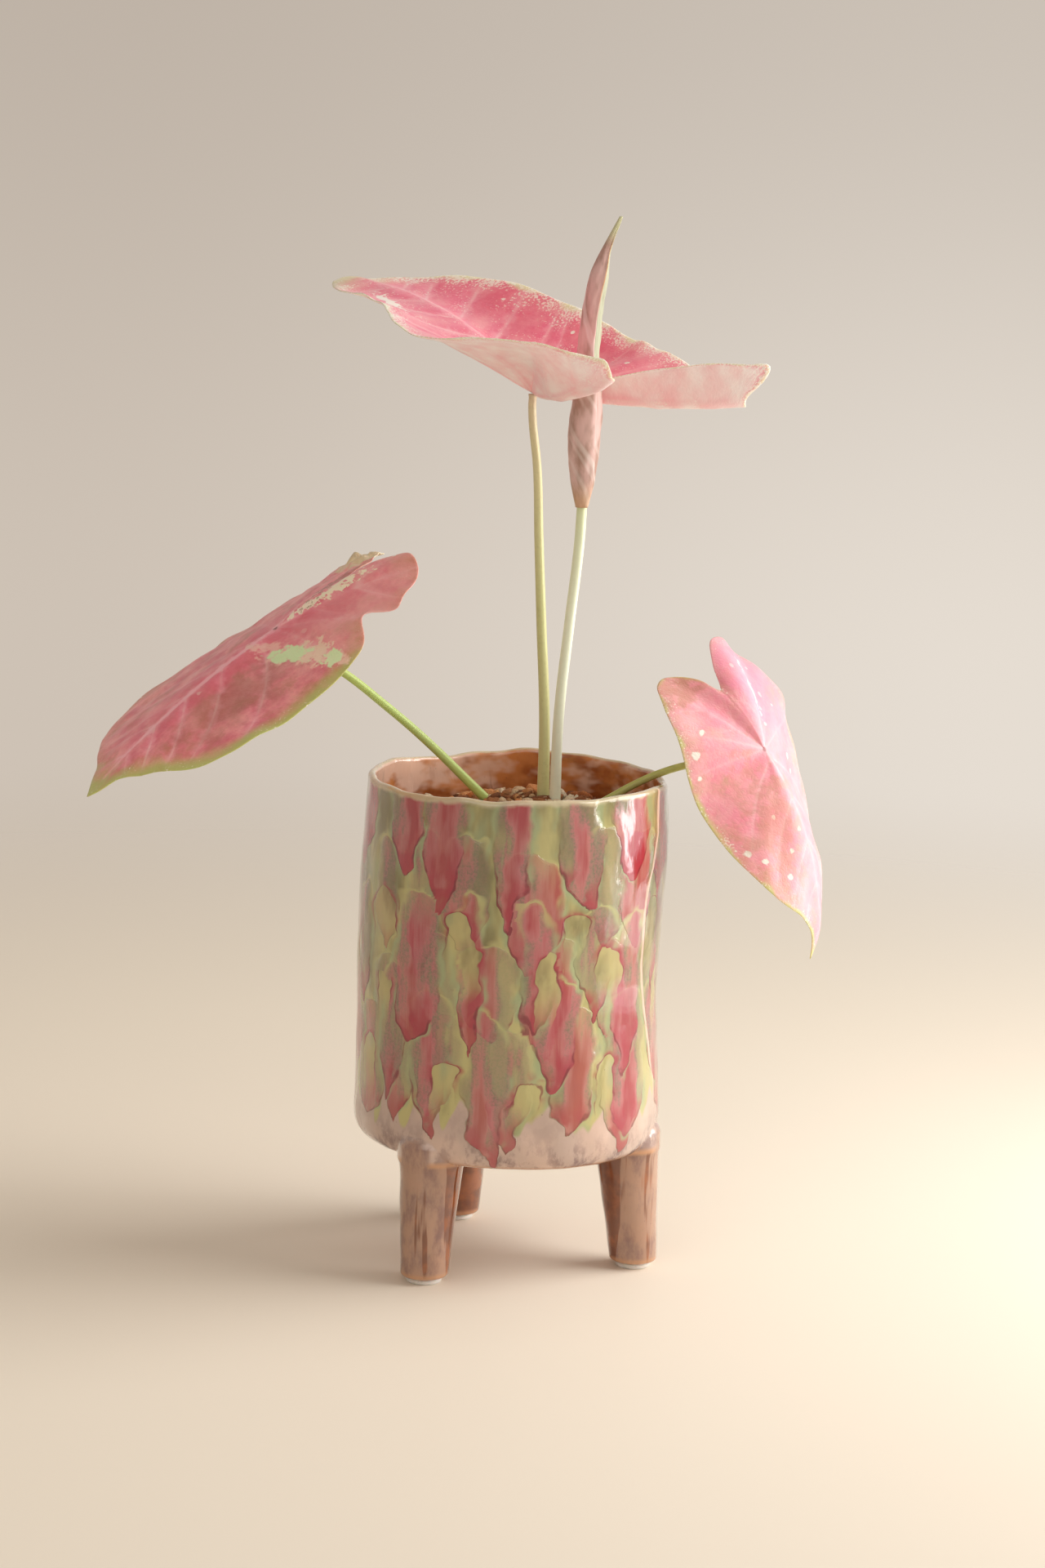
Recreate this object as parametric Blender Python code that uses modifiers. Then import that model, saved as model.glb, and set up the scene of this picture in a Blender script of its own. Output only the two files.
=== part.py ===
"""A potted caladium in a three-legged hand-built pot, built to its real size.

The pot is one fired piece: a slab-built cylinder with an overlapped seam and
three legs. Three foot pads stand under it. It holds a filling of soil with
coarse grains, and four leaf stalks: three carry open leaves, each one a
shield-shaped blade bent in its own way, and one carries a leaf still rolled up.

Lengths are written in millimetres, in the pot's own frame: x to the right, y
away from the viewer, z up from the standing surface. They become metres, and
move to the middle of the object's box, in the last step of each function.
"""

from dataclasses import dataclass
from math import atan2, cos, degrees, exp, pi, radians, sin

import bmesh
import bpy
import numpy as np
from mathutils import Matrix, Vector, noise

MM = 0.001
BOX_CENTRE = (-18.4, 4.6)       # middle of the object's box in the pot's frame
GAP = 0.3                       # air left between two neighbouring pieces

POT_CENTRE = (-0.6, 0.0)
POT_RADIUS = 54.5
POT_BASE_Z = 43.9               # underside of the pot's floor
# How the wall differs from a plain upright tube: (height, more radius, lean to the right).
WALL_SHAPE = ((43, 0.5, 0.3), (60, 0.5, 0.3), (75, 0.1, -0.1), (95, -0.3, -0.9), (108, -0.3, -1.1),
              (130, 0.2, -0.6), (148, 0.5, 0.0), (160, 0.0, 0.4), (172, -0.9, 0.2), (178, -0.9, 0.2))
RIM_Z = 175.8
WALL = 3.0
FLOOR = 5.0
COLUMNS = 64                    # facets round the pot
WALL_ROWS = 9
# Outline of the rounded foot and of the lip: (out from the wall, up from the base or the rim).
FOOT_CURVE = ((-9, 0), (-4.6, 0.6), (-2.0, 2.4), (-0.6, 5.4), (-0.1, 10))
LIP_CURVE = ((-0.2, -1.4), (-0.8, -0.4), (-1.6, 0), (-2.5, -0.4), (-4.5, -2.0))
INNER_CURVE = ((-7, 0), (-2, 1.5), (0, 6))            # the same, where floor and wall meet inside
RIM_WAVE = ((-150, -1.4), (-85, -0.2), (-25, 1.0), (5, -0.7), (33, 0.8),
            (90, 1.3), (118, -1.2), (165, -0.1))      # (direction, rise) of the rim
SEAM_ROUTE = ((45, -16), (71, -18), (78, -22), (90, -25), (100, -28), (115, -31), (135, -31),
              (144, -30), (150, -27), (160, -24), (180, -22))   # (height, direction) of the seam
SEAM_STEP = 1.1                 # the upper slab stands this proud of the lower one
SEAM_FADE = 26                  # degrees over which the step dies away
SEAM_FOOT = (60, 82)            # heights between which the step dies away
SAG = dict(direction=-150, height=52, swell=0.7, wide=40, tall=7)

# Middle of each foot, and how far the leg's top stands nearer the pot's middle.
LEGS = dict(front_left=((-27.6, -39.0), 3.2), right=((47.0, -11.4), 4.4), back=((-18.2, 43.0), 3.0))
LEG_FOOT_RADIUS, LEG_TOP_RADIUS = 8.5, 11.7
LEG_TOP_Z = 50.0
LEG_SIDES = 28
LEG_FOOT_CURVE = ((0, 0.80), (1.0, 0.95), (2.6, 1.0))  # (height over the foot, share of radius)
LEG_DOME_CURVE = ((0, 1.0), (2.8, 0.88), (4.4, 0.62))  # (height over the top, share of radius)
PAD_RADIUS, PAD_THICK = 6.3, 1.9

SOIL_EDGE_Z = 159.0
SOIL_CROWN = dict(x=6.0, y=9.0, rise=6.0, wide=26.0)
SOIL_RINGS = (44, 38, 32, 26, 20, 14, 8, 0)           # radii of the surface's rings
SOIL_LUMP = dict(rise=0.9, fineness=0.16)
GRAIN_COUNT = 22
GRAIN_RADIUS = (1.9, 3.6)
GRAIN_REACH = 41.0              # grains lie within this of the pot's middle
GRAIN_SEED = 5
STALK_DEPTH = 14.0              # how far a stalk goes down into the soil
STALK_TURN = 0.25               # how much a stalk bends to meet its blade squarely

BLADE_THICK = 0.8
BLADE_RINGS = (0.10, 0.28, 0.48, 0.68, 0.86, 1.0)     # share of the way to the margin
MARGIN_FLOOR = 0.11             # least reach of a margin, as a share of the leaf's length
# Half of the shield shape: the reach of the margin from the stalk point, as a
# share of the leaf's length, by direction from the tip.
SHIELD_DIRECTIONS = (0, 5, 14, 32, 60, 90, 115, 135, 150, 163, 173, 180)
SHIELD_REACH = (1.0, 0.90, 0.80, 0.675, 0.565, 0.515, 0.525, 0.60, 0.655, 0.60, 0.44, 0.32)
BEND_DIRECTIONS = (0, 35, 75, 115, 140, 162, 180)     # where rise and curl are given


@dataclass(frozen=True)
class Leaf:
    """One open blade. Pairs give the half to the tip's left, then the right half.

    rise is how steeply each direction leaves the stalk point, and curl how much
    it turns on its way to the margin, both in degrees.
    """

    stalk_point: tuple
    heading: float              # compass turn of the tip
    pitch: float                # above 0 the tip is raised
    roll: float                 # turn about the line to the tip
    length: float
    width: tuple
    sweep: float                # sideways bow of the tip
    hook: float                 # sharper sideways bow of its last fifth
    lobe: tuple
    notch: tuple
    shoulder: tuple
    sinus: float                # more or less reach straight behind the stalk point
    sinus_open: float
    sinus_width: float
    rise: tuple
    curl: tuple


LEAF_LEFT = Leaf(
    stalk_point=(-86.9, -14.9, 227.3), heading=206, pitch=-49, roll=-10, length=93,
    width=(0.97, 1.19), sweep=0.19, hook=0, lobe=(-0.06, 0.05), notch=(0.10, 0),
    shoulder=(0.09, 0.09), sinus=0.03, sinus_open=0, sinus_width=10,
    rise=((18, 6, -4, -5, -7, -3, -7), (18, -1, -15, -22, -22, -16, -7)),
    curl=((-3, 8, 3, -4, -12, -21, -20), (-3, 0, -7, -11, -13, -23, -20)))
LEAF_RIGHT = Leaf(
    stalk_point=(86.7, -4.9, 188.8), heading=16, pitch=-72, roll=61, length=74,
    width=(1.18, 0.86), sweep=-0.18, hook=-1.8, lobe=(0.03, -0.03), notch=(0, 0),
    shoulder=(0.03, 0.09), sinus=0.045, sinus_open=0, sinus_width=10,
    rise=((28, -9, -21, -24, -25, -12, -12), (28, 17, -6, -14, -22, -23, -12)),
    curl=((-34, -22, -19, -14, -25, -44, -35), (-34, -3, -12, -12, -24, -37, -35)))
LEAF_TOP = Leaf(
    stalk_point=(0.6, 0.0, 311.8), heading=133, pitch=19, roll=21, length=117,
    width=(0.82, 0.82), sweep=0.06, hook=-1.8, lobe=(-0.11, 0.11), notch=(0, 0),
    shoulder=(-0.08, -0.08), sinus=0, sinus_open=0.5, sinus_width=14,
    rise=((18, 3, 8, 25, 3, 3, 22), (18, 0, 15, 43, 19, 37, 22)),
    curl=((-39, -6, -21, -16, 37, 37, 7), (-39, 60, 52, -2, 14, 2, 7)))

# The rolled leaf, from its foot to its tip: middle of the roll, and its radius.
ROLL_ROUTE = (((18.9, -10.0, 273), 2.1), ((19.0, -11.4, 284), 4.3), ((18.9, -13.0, 297), 5.5),
              ((19.5, -14.8, 311), 5.0), ((19.3, -16.8, 327), 3.6), ((20.4, -19.0, 343), 3.3),
              ((21.9, -20.3, 353), 3.1), ((23.8, -21.4, 362), 1.7), ((28.5, -23.0, 374), 0.5))
ROLL_COLUMNS, ROLL_ROWS = 20, 22
ROLL_LAP_MM = 0.8               # the roll's free edge stands this proud of the turn below it
ROLL_EDGE_DIRECTION = -60       # where the free edge lies


@dataclass(frozen=True)
class Stalk:
    """A leaf stalk: points of its middle line from the soil up, and its radii."""

    route: tuple
    foot_radius: float
    top_radius: float


STALK_TOP = Stalk(((9.0, 8.0, 166), (8.5, 7.0, 195), (6.1, 5.0, 231), (4.2, 4.0, 261),
                   (2.9, 2.2, 284)), 2.1, 1.4)
STALK_LEFT = Stalk(((-13.4, 9.0, 167), (-34.1, 4.0, 187), (-48.8, -2.0, 200),
                    (-62.1, -7.0, 210.8)), 1.6, 1.4)
STALK_RIGHT = Stalk(((28.0, 6.0, 164.5), (43.8, 5.0, 174.2), (52.8, 3.8, 178.5),
                     (60.0, 1.5, 181.2)), 1.4, 1.25)
STALK_ROLLED = Stalk(((13.2, 3.0, 167), (13.5, 0.0, 197), (16.1, -4.0, 232),
                      (18.4, -8.6, 260)), 1.9, 1.8)

# Plain stand-in finishes: (colour, roughness).
FINISHES = dict(
    glaze=((0.42, 0.20, 0.13), 0.12), soil=((0.10, 0.06, 0.035), 0.95),
    pad=((0.80, 0.80, 0.78), 0.35), leaf_pink=((0.72, 0.24, 0.27), 0.42),
    leaf_roll=((0.50, 0.30, 0.24), 0.45), stalk=((0.33, 0.38, 0.11), 0.40))


# Scene helpers.

def clear_scene():
    """Remove whatever the session opened with."""
    for obj in list(bpy.data.objects):
        bpy.data.objects.remove(obj, do_unlink=True)


def new_collection(name, hidden=False):
    """Make a collection of the scene, left out of a render where it is hidden."""
    collection = bpy.data.collections.new(name)
    bpy.context.scene.collection.children.link(collection)
    collection.hide_render = hidden
    return collection


def material(name):
    """Make the Principled material of this name."""
    made = bpy.data.materials.new(name)
    made.use_nodes = True
    colour, roughness = FINISHES[name]
    shader = made.node_tree.nodes["Principled BSDF"]
    shader.inputs["Base Color"].default_value = (*colour, 1.0)
    shader.inputs["Roughness"].default_value = roughness
    return made


def placed(point):
    """Turn a point of the pot's frame, in millimetres, into the object's own, in metres."""
    return Vector((point[0] - BOX_CENTRE[0], point[1] - BOX_CENTRE[1], point[2])) * MM


def mesh_object(name, points, faces, collection):
    """Make an object of these points, in the pot's frame and millimetres, and faces."""
    mesh = bpy.data.meshes.new(name)
    mesh.from_pydata([placed(point) for point in points], [], faces)
    made = bpy.data.objects.new(name, mesh)
    collection.objects.link(made)
    return made


def finish(obj, slot):
    """Give an object its material, and smooth shading."""
    obj.data.materials.clear()
    obj.data.materials.append(slot)
    if obj.type == "MESH":
        for face in obj.data.polygons:
            face.use_smooth = True


def apply_modifiers(obj):
    """Replace an object's mesh by what its modifiers make of it."""
    graph = bpy.context.evaluated_depsgraph_get()
    made = bpy.data.meshes.new_from_object(obj.evaluated_get(graph))
    obj.modifiers.clear()
    obj.data = made


def boolean(obj, operation, cutters):
    """Apply one Boolean with everything in a collection, and remove what it used."""
    modifier = obj.modifiers.new(operation.title(), "BOOLEAN")
    modifier.operation = operation
    modifier.solver = "EXACT"
    modifier.use_self = operation == "UNION"
    modifier.operand_type = "COLLECTION"
    modifier.collection = cutters
    apply_modifiers(obj)
    for used in list(cutters.objects):
        bpy.data.objects.remove(used, do_unlink=True)


def facing_out(mesh):
    """Merge what lies in one place, and turn every face outwards."""
    editing = bmesh.new()
    editing.from_mesh(mesh)
    bmesh.ops.remove_doubles(editing, verts=editing.verts, dist=1e-6)
    bmesh.ops.recalc_face_normals(editing, faces=editing.faces)
    editing.to_mesh(mesh)
    editing.free()


def turned(name, profile, collection):
    """Turn a closed outline of (radius, height) about the z axis, in millimetres."""
    mesh = bpy.data.meshes.new(name)
    points = [(radius, 0.0, height) for radius, height in profile]
    mesh.from_pydata(points, [(i, i + 1) for i in range(len(points) - 1)], [])
    made = bpy.data.objects.new(name, mesh)
    collection.objects.link(made)
    screw = made.modifiers.new("Turn", "SCREW")
    screw.steps = screw.render_steps = COLUMNS
    screw.use_merge_vertices = True
    screw.merge_threshold = 0.0001
    apply_modifiers(made)
    facing_out(made.data)
    return made


# The pot.

def by_direction(table, direction):
    """Read a (direction, value) table that goes once round."""
    return float(np.interp(direction, *zip(*table), period=360))


def ease(low, high, value):
    """Go smoothly from 0 at low to 1 at high."""
    share = min(max((value - low) / (high - low), 0.0), 1.0)
    return share * share * (3 - 2 * share)


def plan_wobble(direction, height):
    """How far the hand-built wall is out of round here."""
    angle = radians(direction)
    heights, swell, lean = zip(*WALL_SHAPE)
    change = np.interp(height, heights, swell) + np.interp(height, heights, lean) * cos(angle)
    return float(change) + 0.45 * cos(2 * angle + 1.9) + 0.25 * cos(3 * angle + height / 40.0 + 1.5)


def seam_offset(direction, height):
    """The outer slab's overlap: proud on one side of the seam, sunk on the other."""
    away = (direction - float(np.interp(height, *zip(*SEAM_ROUTE))) + 180) % 360 - 180
    step = SEAM_STEP * ease(*SEAM_FOOT, height)
    if away <= 0:
        return 0.6 * step * exp(away / SEAM_FADE)
    return -0.4 * step * exp(-away / SEAM_FADE)


def seam_direction(direction, height):
    """Move the two columns beside the seam close up to it, and ease the others along."""
    seam = float(np.interp(height, *zip(*SEAM_ROUTE)))
    step = 360.0 / COLUMNS
    below, above = -5 * step, -4 * step     # the columns that end up beside the seam
    return float(np.interp(direction, (-180, -100, below, above, 50, 180),
                           (-180, -100, seam - 0.6, seam + 0.6, 50, 180)))


def sag(direction, height):
    """The wall's soft bulge just above the floor, on the left."""
    away = (direction - SAG["direction"] + 180) % 360 - 180
    return SAG["swell"] * exp(-(away / SAG["wide"]) ** 2 - ((height - SAG["height"]) / SAG["tall"]) ** 2)


def shaped_wall(obj, outside):
    """Push a turned wall out of round, and let its rim rise and fall."""
    for vertex in obj.data.vertices:
        x, y, height = vertex.co
        radius = (x * x + y * y) ** 0.5
        direction = degrees(atan2(y, x))
        at_wall = ease(0.6 * POT_RADIUS, 0.9 * POT_RADIUS, radius)
        rise = by_direction(RIM_WAVE, direction) * ease(110, 170, height) * at_wall
        change = plan_wobble(direction, height) * at_wall
        if outside:
            direction = seam_direction(direction, height)
            change += seam_offset(direction, height) * ease(0.8 * POT_RADIUS, POT_RADIUS, radius)
            change += sag(direction, height) * at_wall
        angle = radians(direction)
        reach = radius + change
        vertex.co = placed((POT_CENTRE[0] + reach * cos(angle),
                            POT_CENTRE[1] + reach * sin(angle), height + rise))


def leg_middle(name, share):
    """Where a leg's middle lies: share 0 is its foot, 1 its top."""
    (x, y), lean = LEGS[name]
    nearer = 1 - share * lean / (x * x + y * y) ** 0.5
    return x * nearer, y * nearer


def leg(name, collection):
    """A leg: a cone whose outer edge stands upright, with a round foot and a domed top."""
    foot_z = PAD_THICK + GAP
    rows = [(foot_z + up, share) for up, share in LEG_FOOT_CURVE]
    rows += [(LEG_TOP_Z + up, share) for up, share in LEG_DOME_CURVE]
    sides = LEG_SIDES
    points, faces = [], []
    for height, share in rows:
        along = min((height - foot_z) / (LEG_TOP_Z - foot_z), 1.0)
        radius = share * (LEG_FOOT_RADIUS + along * (LEG_TOP_RADIUS - LEG_FOOT_RADIUS))
        x, y = leg_middle(name, along)
        for step in range(sides):
            turn = 2 * pi * step / sides
            points.append((x + radius * cos(turn), y + radius * sin(turn), height))
    for row in range(len(rows) - 1):
        for step in range(sides):
            after = (step + 1) % sides
            low, high = row * sides, (row + 1) * sides
            faces.append((low + step, low + after, high + after, high + step))
    faces.append(tuple(range(sides))[::-1])
    faces.append(tuple(range((len(rows) - 1) * sides, len(rows) * sides)))
    return mesh_object("leg_" + name, points, faces, collection)


def pot(collection, helpers):
    """The fired piece: wall, floor, lip and legs in one."""
    heights = [float(height) for height in np.linspace(POT_BASE_Z + 18, RIM_Z - 4, WALL_ROWS)]
    outline = [(0, POT_BASE_Z), (0.45 * POT_RADIUS, POT_BASE_Z)]
    outline += [(POT_RADIUS + out, POT_BASE_Z + up) for out, up in FOOT_CURVE]
    outline += [(POT_RADIUS, height) for height in heights]
    outline += [(POT_RADIUS + out, RIM_Z + up) for out, up in LIP_CURVE]
    outline += [(0, RIM_Z + LIP_CURVE[-1][1])]
    body = turned("planter_pot", outline, collection)
    shaped_wall(body, outside=True)
    for name in LEGS:
        leg(name, helpers)
    boolean(body, "UNION", helpers)
    over = RIM_Z + 6
    cavity = turned("cavity", inner_outline(0.0) + [(POT_RADIUS - WALL, height) for height in heights[1:]]
                    + [(POT_RADIUS - WALL, over), (0, over)], helpers)
    shaped_wall(cavity, outside=False)
    boolean(body, "DIFFERENCE", helpers)
    facing_out(body.data)
    return body


def inner_outline(clear):
    """Outline of the pot's inside from the middle of its floor, this far clear of it."""
    inner = POT_RADIUS - WALL - clear
    floor = POT_BASE_Z + FLOOR + clear
    return [(0, floor)] + [(inner + out, floor + up) for out, up in INNER_CURVE]


def foot_pad(name, collection):
    """The soft disc under one leg."""
    x, y = leg_middle(name, 0)
    editing = bmesh.new()
    bmesh.ops.create_cone(editing, cap_ends=True, segments=28, radius1=PAD_RADIUS * MM,
                          radius2=PAD_RADIUS * MM, depth=PAD_THICK * MM,
                          matrix=Matrix.Translation(placed((x, y, PAD_THICK / 2))))
    upper = [edge for edge in editing.edges
             if all(vertex.co.z > 0.9 * PAD_THICK * MM for vertex in edge.verts)]
    bmesh.ops.bevel(editing, geom=upper, offset=0.35 * MM, segments=1, affect="EDGES")
    mesh = bpy.data.meshes.new("foot_pad_" + name)
    editing.to_mesh(mesh)
    editing.free()
    made = bpy.data.objects.new("foot_pad_" + name, mesh)
    collection.objects.link(made)
    return made


# The soil.

def soil_height(x, y):
    """Height of the soil's surface here: a low mound about the stalks, with lumps."""
    away = ((x - SOIL_CROWN["x"]) ** 2 + (y - SOIL_CROWN["y"]) ** 2) / SOIL_CROWN["wide"] ** 2
    lump = noise.noise(Vector((x, y, 3.0)) * SOIL_LUMP["fineness"])
    return SOIL_EDGE_Z + SOIL_CROWN["rise"] * exp(-away) + SOIL_LUMP["rise"] * lump


def grains(helpers):
    """Coarse grains that stand out of the soil's surface."""
    rng = np.random.default_rng(GRAIN_SEED)
    for number in range(GRAIN_COUNT):
        direction = rng.uniform(0, 2 * pi)
        reach = GRAIN_REACH * rng.uniform(0.1, 1.0) ** 0.6
        x = POT_CENTRE[0] + reach * cos(direction)
        y = POT_CENTRE[1] + reach * sin(direction)
        size = rng.uniform(*GRAIN_RADIUS)
        editing = bmesh.new()
        bmesh.ops.create_icosphere(editing, subdivisions=1, radius=size * MM)
        squash = Matrix.Diagonal((1.0, rng.uniform(0.6, 0.95), rng.uniform(0.55, 0.85), 1.0))
        spin = Matrix.Rotation(rng.uniform(0, 2 * pi), 4, rng.normal(size=3))
        place = Matrix.Translation(placed((x, y, soil_height(x, y) + 0.25 * size)))
        bmesh.ops.transform(editing, matrix=place @ spin @ squash, verts=editing.verts)
        mesh = bpy.data.meshes.new("grain_%d" % number)
        editing.to_mesh(mesh)
        editing.free()
        helpers.objects.link(bpy.data.objects.new(mesh.name, mesh))


def soil(collection, helpers, stalks):
    """The filling: it follows the pot's inner wall, and has a plain hole for each stalk."""
    inner = POT_RADIUS - WALL - GAP
    outline = inner_outline(GAP)
    outline += [(inner, float(height)) for height in np.linspace(80, SOIL_EDGE_Z, 5)]
    outline += [(radius, SOIL_EDGE_Z) for radius in SOIL_RINGS]
    made = turned("soil", outline, collection)
    shaped_wall(made, outside=False)
    for vertex in made.data.vertices:
        x = vertex.co.x / MM + BOX_CENTRE[0]
        y = vertex.co.y / MM + BOX_CENTRE[1]
        reach = ((x - POT_CENTRE[0]) ** 2 + (y - POT_CENTRE[1]) ** 2) ** 0.5
        if reach < SOIL_RINGS[0] + 2 and vertex.co.z > 0.9 * SOIL_EDGE_Z * MM:
            vertex.co.z = soil_height(x, y) * MM
    grains(helpers)
    boolean(made, "UNION", helpers)
    for name, stalk in stalks.items():
        bored = stalk_curve("hole_" + name, stalk, helpers, extra=GAP)
        as_mesh(bored)
    boolean(made, "DIFFERENCE", helpers)
    facing_out(made.data)
    return made


# The stalks.

def stalk_curve(name, route, collection, extra=0.0):
    """A tapered round stalk along its route, or a hole for it where extra is above 0."""
    points, foot_radius, top_radius = route
    line = bpy.data.curves.new(name, "CURVE")
    line.dimensions = "3D"
    line.resolution_u = 5
    line.bevel_depth = MM
    line.bevel_resolution = 2
    line.use_fill_caps = True
    spline = line.splines.new("BEZIER")
    spline.bezier_points.add(len(points) - 1)
    length = np.cumsum([0] + [(Vector(b) - Vector(a)).length for a, b in zip(points, points[1:])])
    for number, (bezier, point) in enumerate(zip(spline.bezier_points, points)):
        if number == 0:
            down = (Vector(points[0]) - Vector(points[1])).normalized()
            point = Vector(point) + down * extra
        bezier.co = placed(point)
        bezier.handle_left_type = bezier.handle_right_type = "AUTO"
        share = length[number] / length[-1]
        bezier.radius = foot_radius + share * (top_radius - foot_radius) + extra
    made = bpy.data.objects.new(name, line)
    collection.objects.link(made)
    return made


def as_mesh(obj):
    """Replace a curve by its mesh, so that a Boolean can use it."""
    graph = bpy.context.evaluated_depsgraph_get()
    mesh = bpy.data.meshes.new_from_object(obj.evaluated_get(graph))
    facing_out(mesh)
    made = bpy.data.objects.new(obj.name + "_mesh", mesh)
    made.matrix_world = obj.matrix_world.copy()
    for collection in obj.users_collection:
        collection.objects.link(made)
    bpy.data.objects.remove(obj, do_unlink=True)
    return made


def stalk_route(stalk, goal, facing, droop):
    """The whole middle line: down into the soil, along the route, and up to the leaf.

    It ends just short of goal, by enough to keep the whole of its flat end clear
    of a surface that faces along facing and droops by this slope about goal.
    """
    points = [Vector(point) for point in stalk.route]
    buried = (points[0] - points[1]).normalized() * STALK_DEPTH
    straight = (goal - points[-1]).normalized()
    arrival = (straight + STALK_TURN * facing).normalized()
    tilt = arrival.cross(facing).length
    end = goal - arrival * (GAP + stalk.top_radius * (tilt + droop)) / arrival.dot(facing)
    points = [points[0] + buried] + points + [end - arrival * 5.0, end]
    return points, stalk.foot_radius, stalk.top_radius


# The open leaves.

def smooth_table(at, places, values):
    """Read a table by direction with a smooth curve, level at its far end."""
    places = np.array(places, float)
    values = np.array(values, float)
    slopes = np.gradient(values, places)
    slopes[0] = (values[1] - values[0]) / (places[1] - places[0])
    slopes[-1] = 0.0
    return hermite(at, places, values, slopes)


def hermite(at, places, values, slopes):
    """Cubic curve through values with these slopes."""
    i = np.clip(np.searchsorted(places, at, side="right") - 1, 0, len(places) - 2)
    width = places[i + 1] - places[i]
    t = (at - places[i]) / width
    return ((2 * t**3 - 3 * t**2 + 1) * values[i] + (t**3 - 2 * t**2 + t) * width * slopes[i]
            + (-2 * t**3 + 3 * t**2) * values[i + 1] + (t**3 - t**2) * width * slopes[i + 1])


def bump(at, middle, wide):
    """A smooth hump of height 1."""
    return np.exp(-((at - middle) / wide) ** 2)


def margin_reach(leaf, direction):
    """Reach of the margin as a share of the length; directions above 0 are the left half."""
    off = np.abs(direction)
    left = direction > 0
    reach = smooth_table(off, SHIELD_DIRECTIONS, SHIELD_REACH)
    reach = reach + np.where(left, *leaf.lobe) * bump(off, 150, 20) + leaf.sinus * bump(off, 180, 14)
    reach = reach - leaf.sinus_open * np.exp(-((off - 172) / leaf.sinus_width) ** 4)
    reach = reach - np.where(left, *leaf.notch) * bump(off, 118, 12)
    reach = reach + np.where(left, *leaf.shoulder) * bump(off, 35, 20)
    return np.maximum(reach, MARGIN_FLOOR)


def bend_by_direction(direction, halves):
    """Read rise or curl, in radians, at these directions in degrees."""
    left, right = halves
    places = np.array([-a for a in BEND_DIRECTIONS[::-1]] + list(BEND_DIRECTIONS[1:]), float)
    values = np.radians(np.array(list(right[::-1]) + list(left[1:]), float))
    return hermite(direction, places, values, np.gradient(values, places))


def turn_matrix(heading, pitch, roll):
    """The leaf's turn: rolled about its own length, tipped, then turned to its heading."""
    return (Matrix.Rotation(radians(heading), 3, "Z") @ Matrix.Rotation(radians(-pitch), 3, "Y")
            @ Matrix.Rotation(radians(roll), 3, "X"))


def blade_points(leaf, share, direction):
    """Points of a blade, in the pot's frame: share 0 is the stalk point, 1 the margin.

    Each direction is a ray that leaves the stalk point at its own rise and turns
    by its own curl on the way; sweep and hook bow the tip to one side.
    """
    angle = np.radians(direction)
    reach = margin_reach(leaf, direction)
    x = reach * np.cos(angle)
    y = reach * np.sin(angle) * np.where(direction > 0, *leaf.width)
    reach, angle = np.hypot(x, y), np.arctan2(y, x)
    rise = bend_by_direction(direction, leaf.rise)
    curl = bend_by_direction(direction, leaf.curl)
    steps = (np.arange(24) + 0.5) / 24
    slope = rise[..., None] + curl[..., None] * share[..., None] * steps
    along = share * reach
    out = np.cos(slope).mean(-1) * along
    up = np.sin(slope).mean(-1) * along
    side = leaf.sweep * along**2 + leaf.hook * np.clip(along - 0.8, 0, None) ** 2
    side = side * np.exp(-(angle / 0.5) ** 2)
    points = np.stack([out * np.cos(angle), out * np.sin(angle) + side, up], -1) * leaf.length
    turn = np.array(turn_matrix(leaf.heading, leaf.pitch, leaf.roll))
    return points @ turn.T + np.array(leaf.stalk_point)


def blade_directions():
    """Directions of the grid's columns: close together at the tip and at the lobes."""
    half = np.interp(np.arange(27), (0, 4, 13, 26), (0, 15, 95, 180))
    return np.concatenate([-half[:0:-1], half[:-1]])


def blade_frame(leaf):
    """The upper side's facing at the stalk point, and how far the blade droops near it."""
    directions = blade_directions()
    ring = blade_points(leaf, np.full(len(directions), 0.06), directions)
    middle = np.array(leaf.stalk_point)
    arms = ring - middle
    facing = np.cross(arms, np.roll(arms, -1, axis=0)).sum(axis=0)
    facing = facing / np.linalg.norm(facing)
    slopes = (arms @ facing) / np.linalg.norm(arms, axis=1)
    return facing, float(max(-slopes.min(), 0.0))


def open_leaf(name, leaf, collection):
    """A blade: a fan of rays from the stalk point, thickened."""
    directions = blade_directions()
    columns = len(directions)
    points = [np.array(leaf.stalk_point)[None, :]]
    points += [blade_points(leaf, np.full(columns, share), directions) for share in BLADE_RINGS]
    faces = [(0, 1 + step, 1 + (step + 1) % columns) for step in range(columns)]
    for ring in range(len(BLADE_RINGS) - 1):
        low, high = 1 + ring * columns, 1 + (ring + 1) * columns
        for step in range(columns):
            after = (step + 1) % columns
            faces.append((low + step, high + step, high + after))
            faces.append((low + step, high + after, low + after))
    made = mesh_object(name, np.concatenate(points), faces, collection)
    thicken = made.modifiers.new("Thickness", "SOLIDIFY")
    thicken.thickness = BLADE_THICK * MM
    thicken.offset = 0.0
    thicken.use_even_offset = True
    thicken.thickness_clamp = 0.0
    apply_modifiers(made)
    facing_out(made.data)
    return made


# The rolled leaf.

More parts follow.
